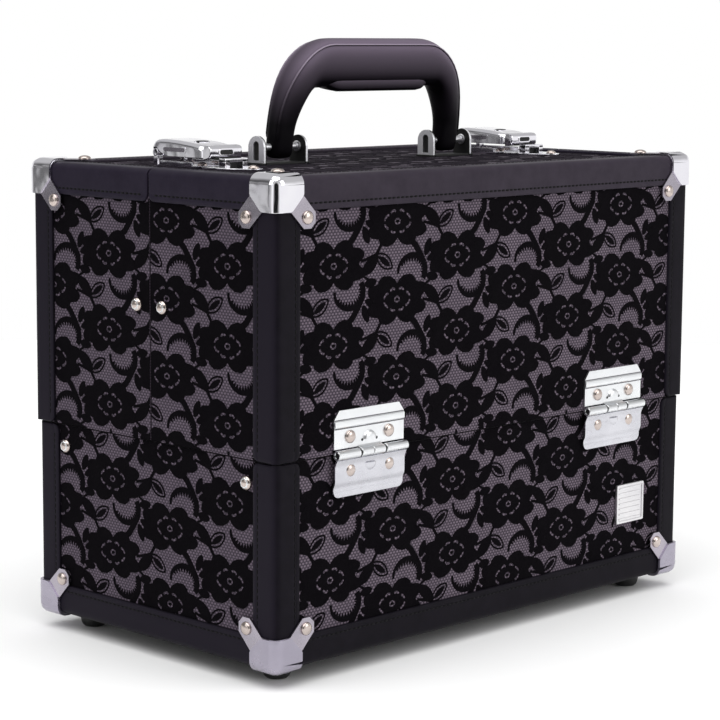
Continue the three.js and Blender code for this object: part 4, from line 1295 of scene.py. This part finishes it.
def latch_base(bm, cx, top):
    """The base plate with two rivets, two low rails and the hinge knuckles on their posts."""
    y, z = LATCH_PIN[0], top + LATCH_PIN[1]
    slab(bm, [[(-12, 3), (12, 3), (12, 33), (9, 36), (-9, 36), (-12, 33)]], level(cx, 0, SOLE), 0, 1.0)
    for sx in (-1, 1):
        low, high = sorted((cx + sx * 7.5, cx + sx * 11.4))
        rod_x(bm, y, z, 2.3, (low, high), 18, bore=1.4)
        rod_x(bm, y, z, 1.35, (low + 0.7, high - 0.7), 12, material=2)
        block(bm, (low + 0.1, 33.2, SOLE + 0.6), (high - 0.1, 36.4, top + 4.6))
        rail = sorted((cx + sx * 11.1, cx + sx * 12))
        block(bm, (rail[0], 5, SOLE + 0.6), (rail[1], 31, SOLE + 3.1))
    rod_x(bm, y, z, 1.1, (cx - 10, cx + 10), 12)
    for at in (10, 24):
        rivet(bm, 2.6, 1.7, level(cx, at, SOLE + 1), 18)


def latch_lever(bm, cx, top):
    """A pressed channel with a keyhole, side recesses and a barrel."""
    # Y, height and half width along the lever's back, then its rounded rim: in, and down
    spine = [(36.9, 9.6, 10.9), (36.5, 10.9, 11.4), (35.4, 12.1, 11.7), (33.4, 12.9, 12), (30.0, 13.2, 12),
             (24, 13.1, 12), (16, 12.7, 12), (9, 12.1, 12), (4, 11.5, 12), (0, 10.9, 11.8), (-2.0, 10.4, 11.4),
             (-3.1, 9.7, 10.7)]
    rim = [(0.0, 2.4), (0.25, 1.45), (0.95, 0.6), (2.0, 0.15), (3.2, 0.0)]
    sections = []
    for y, z, w in spine:
        floor = 4.4 + 4.4 * clamped((y - 26) / 7) ** 1.5
        outside = [(-w, floor)] + [(-w + u, z - v) for u, v in rim]
        inside = [(w - 1.1, floor), (w - 1.2, z - 2.7), (w - 2.2, z - 1.4)]
        section = outside + [(-x, h) for x, h in reversed(outside)] + inside + [(-x, h) for x, h in reversed(inside)]
        sections.append([Vector((cx + x, y, top + h)) for x, h in section])
    loop_tube(bm, sections)
    lift = facing((cx, 10, top + 12.1), (0, -0.09, 1), (0, 1, 0.09))
    keyhole = oval(0, 0, 4.4, 2.2, 0, 20)
    slab(bm, [keyhole], lift, 0.0, 0.42, material=2)
    slab(bm, [oval(0, 0, 5.2, 2.9, 0, 20), keyhole], lift, -0.1, 0.3)
    recess = round_rect(8.6, 1.1, 0.9)
    for sx in (-1, 1):
        put = facing((cx + sx * 12, 19, top + 7.9), (sx, 0, 0))
        slab(bm, [round_rect(9.5, 1.9, 1.6), recess], put, -0.1, 0.12)
        slab(bm, [recess], put, -0.05, 0.03, material=3)
    rod_x(bm, LATCH_PIN[0], top + LATCH_PIN[1], 2.3, (cx - 7.2, cx + 7.2), 20, bore=1.3)
    block(bm, (cx - 7.2, 34.2, top + 7.6), (cx + 7.2, 36.2, top + 11.0))


def latch_hook(bm, cx, top):
    """The folded nose with an oval slot."""
    nose = [(-3.7, 3.3), (-3.7, 9.9), (-4.7, 11.1), (-7.6, 10.8), (-8.7, 9.9), (-9.0, 8.9), (-9.0, 5.6),
            (-8.5, 4.4), (-6.5, 3.6)]
    sections = []
    for x, shrink in ((-11.6, 0.5), (-11.3, 0.15), (-10.6, 0), (10.6, 0), (11.3, 0.15), (11.6, 0.5)):
        sections.append([Vector((cx + x, y + (shrink if y < -6 else 0), top + (z + (shrink if z < 6 else -shrink))))
                         for y, z in nose])
    loop_tube(bm, sections)
    put = facing((cx, -9.0, top + 7.4), FORWARD)
    slot = round_rect(4.6, 1.25, 1.2, 5)
    slab(bm, [round_rect(5.4, 1.9, 1.8, 5), slot], put, -0.2, 0.28)
    slab(bm, [slot], put, -0.2, 0.06, material=2)
    slab(bm, [round_rect(8.2, 0.7, 0.6, 3, -3.1)], put, -1.0, -0.25, material=2)


def latch_keeper(bm, cx, top):
    """A tapering plate with a rivet in its tail, two posts and the catch bar."""
    tail = [(12, -3), (-12, -3), (-12, -18), *arc(0, -30, 5, 5, 190, 350, 10), (12, -18)]
    slab(bm, [tail], level(cx, 0, SOLE), 0, 1.0)
    front, rear = KEEPER
    for sx in (-1, 1):
        low, high = sorted((cx + sx * 4.6, cx + sx * 8))
        block(bm, (low, front, SOLE + 0.6), (high, rear, top + 3.9))
    block(bm, (cx - 8, front, top + 2.6), (cx + 8, rear, top + 4.5))
    block(bm, (cx - 4.7, -13.2, SOLE + 0.9), (cx + 4.7, -12.4, top + 2.7), material=2)
    rivet(bm, 2.8, 1.8, level(cx, -30, SOLE + 1), 20)


def make_latches():
    for end, sx in ENDS:
        for part, build, body, metals, looks in (
                ("base", latch_base, "rear_lid", "", {"smooth": 32, "bevel": (0.15, 2)}),
                ("lever", latch_lever, f"latch_lever_{end}", " tab", {"smooth": 38}),
                ("hook", latch_hook, f"latch_hook_{end}", "", {"smooth": 38}),
                ("keeper", latch_keeper, "front_lid", "", {"smooth": 32, "bevel": (0.2, 2)})):
            bm = bmesh.new()
            build(bm, sx * LATCH_X, S["top"])
            add_object(f"chrome_latch_{part}_{end}", bm, f"chrome dome shadow{metals}", body, "chrome",
                       [f"latch_{part}_{end}"], crisp=True, **looks)


make_lace()
cover_panels()
base_strips()
for half in ("front", "rear"):
    lid_strips(half)
make_caps()
make_feet()
make_badge()
make_hinges()
make_trays()
make_links()
make_handle()
make_brackets()
make_latches()

bpy.context.view_layer.update()
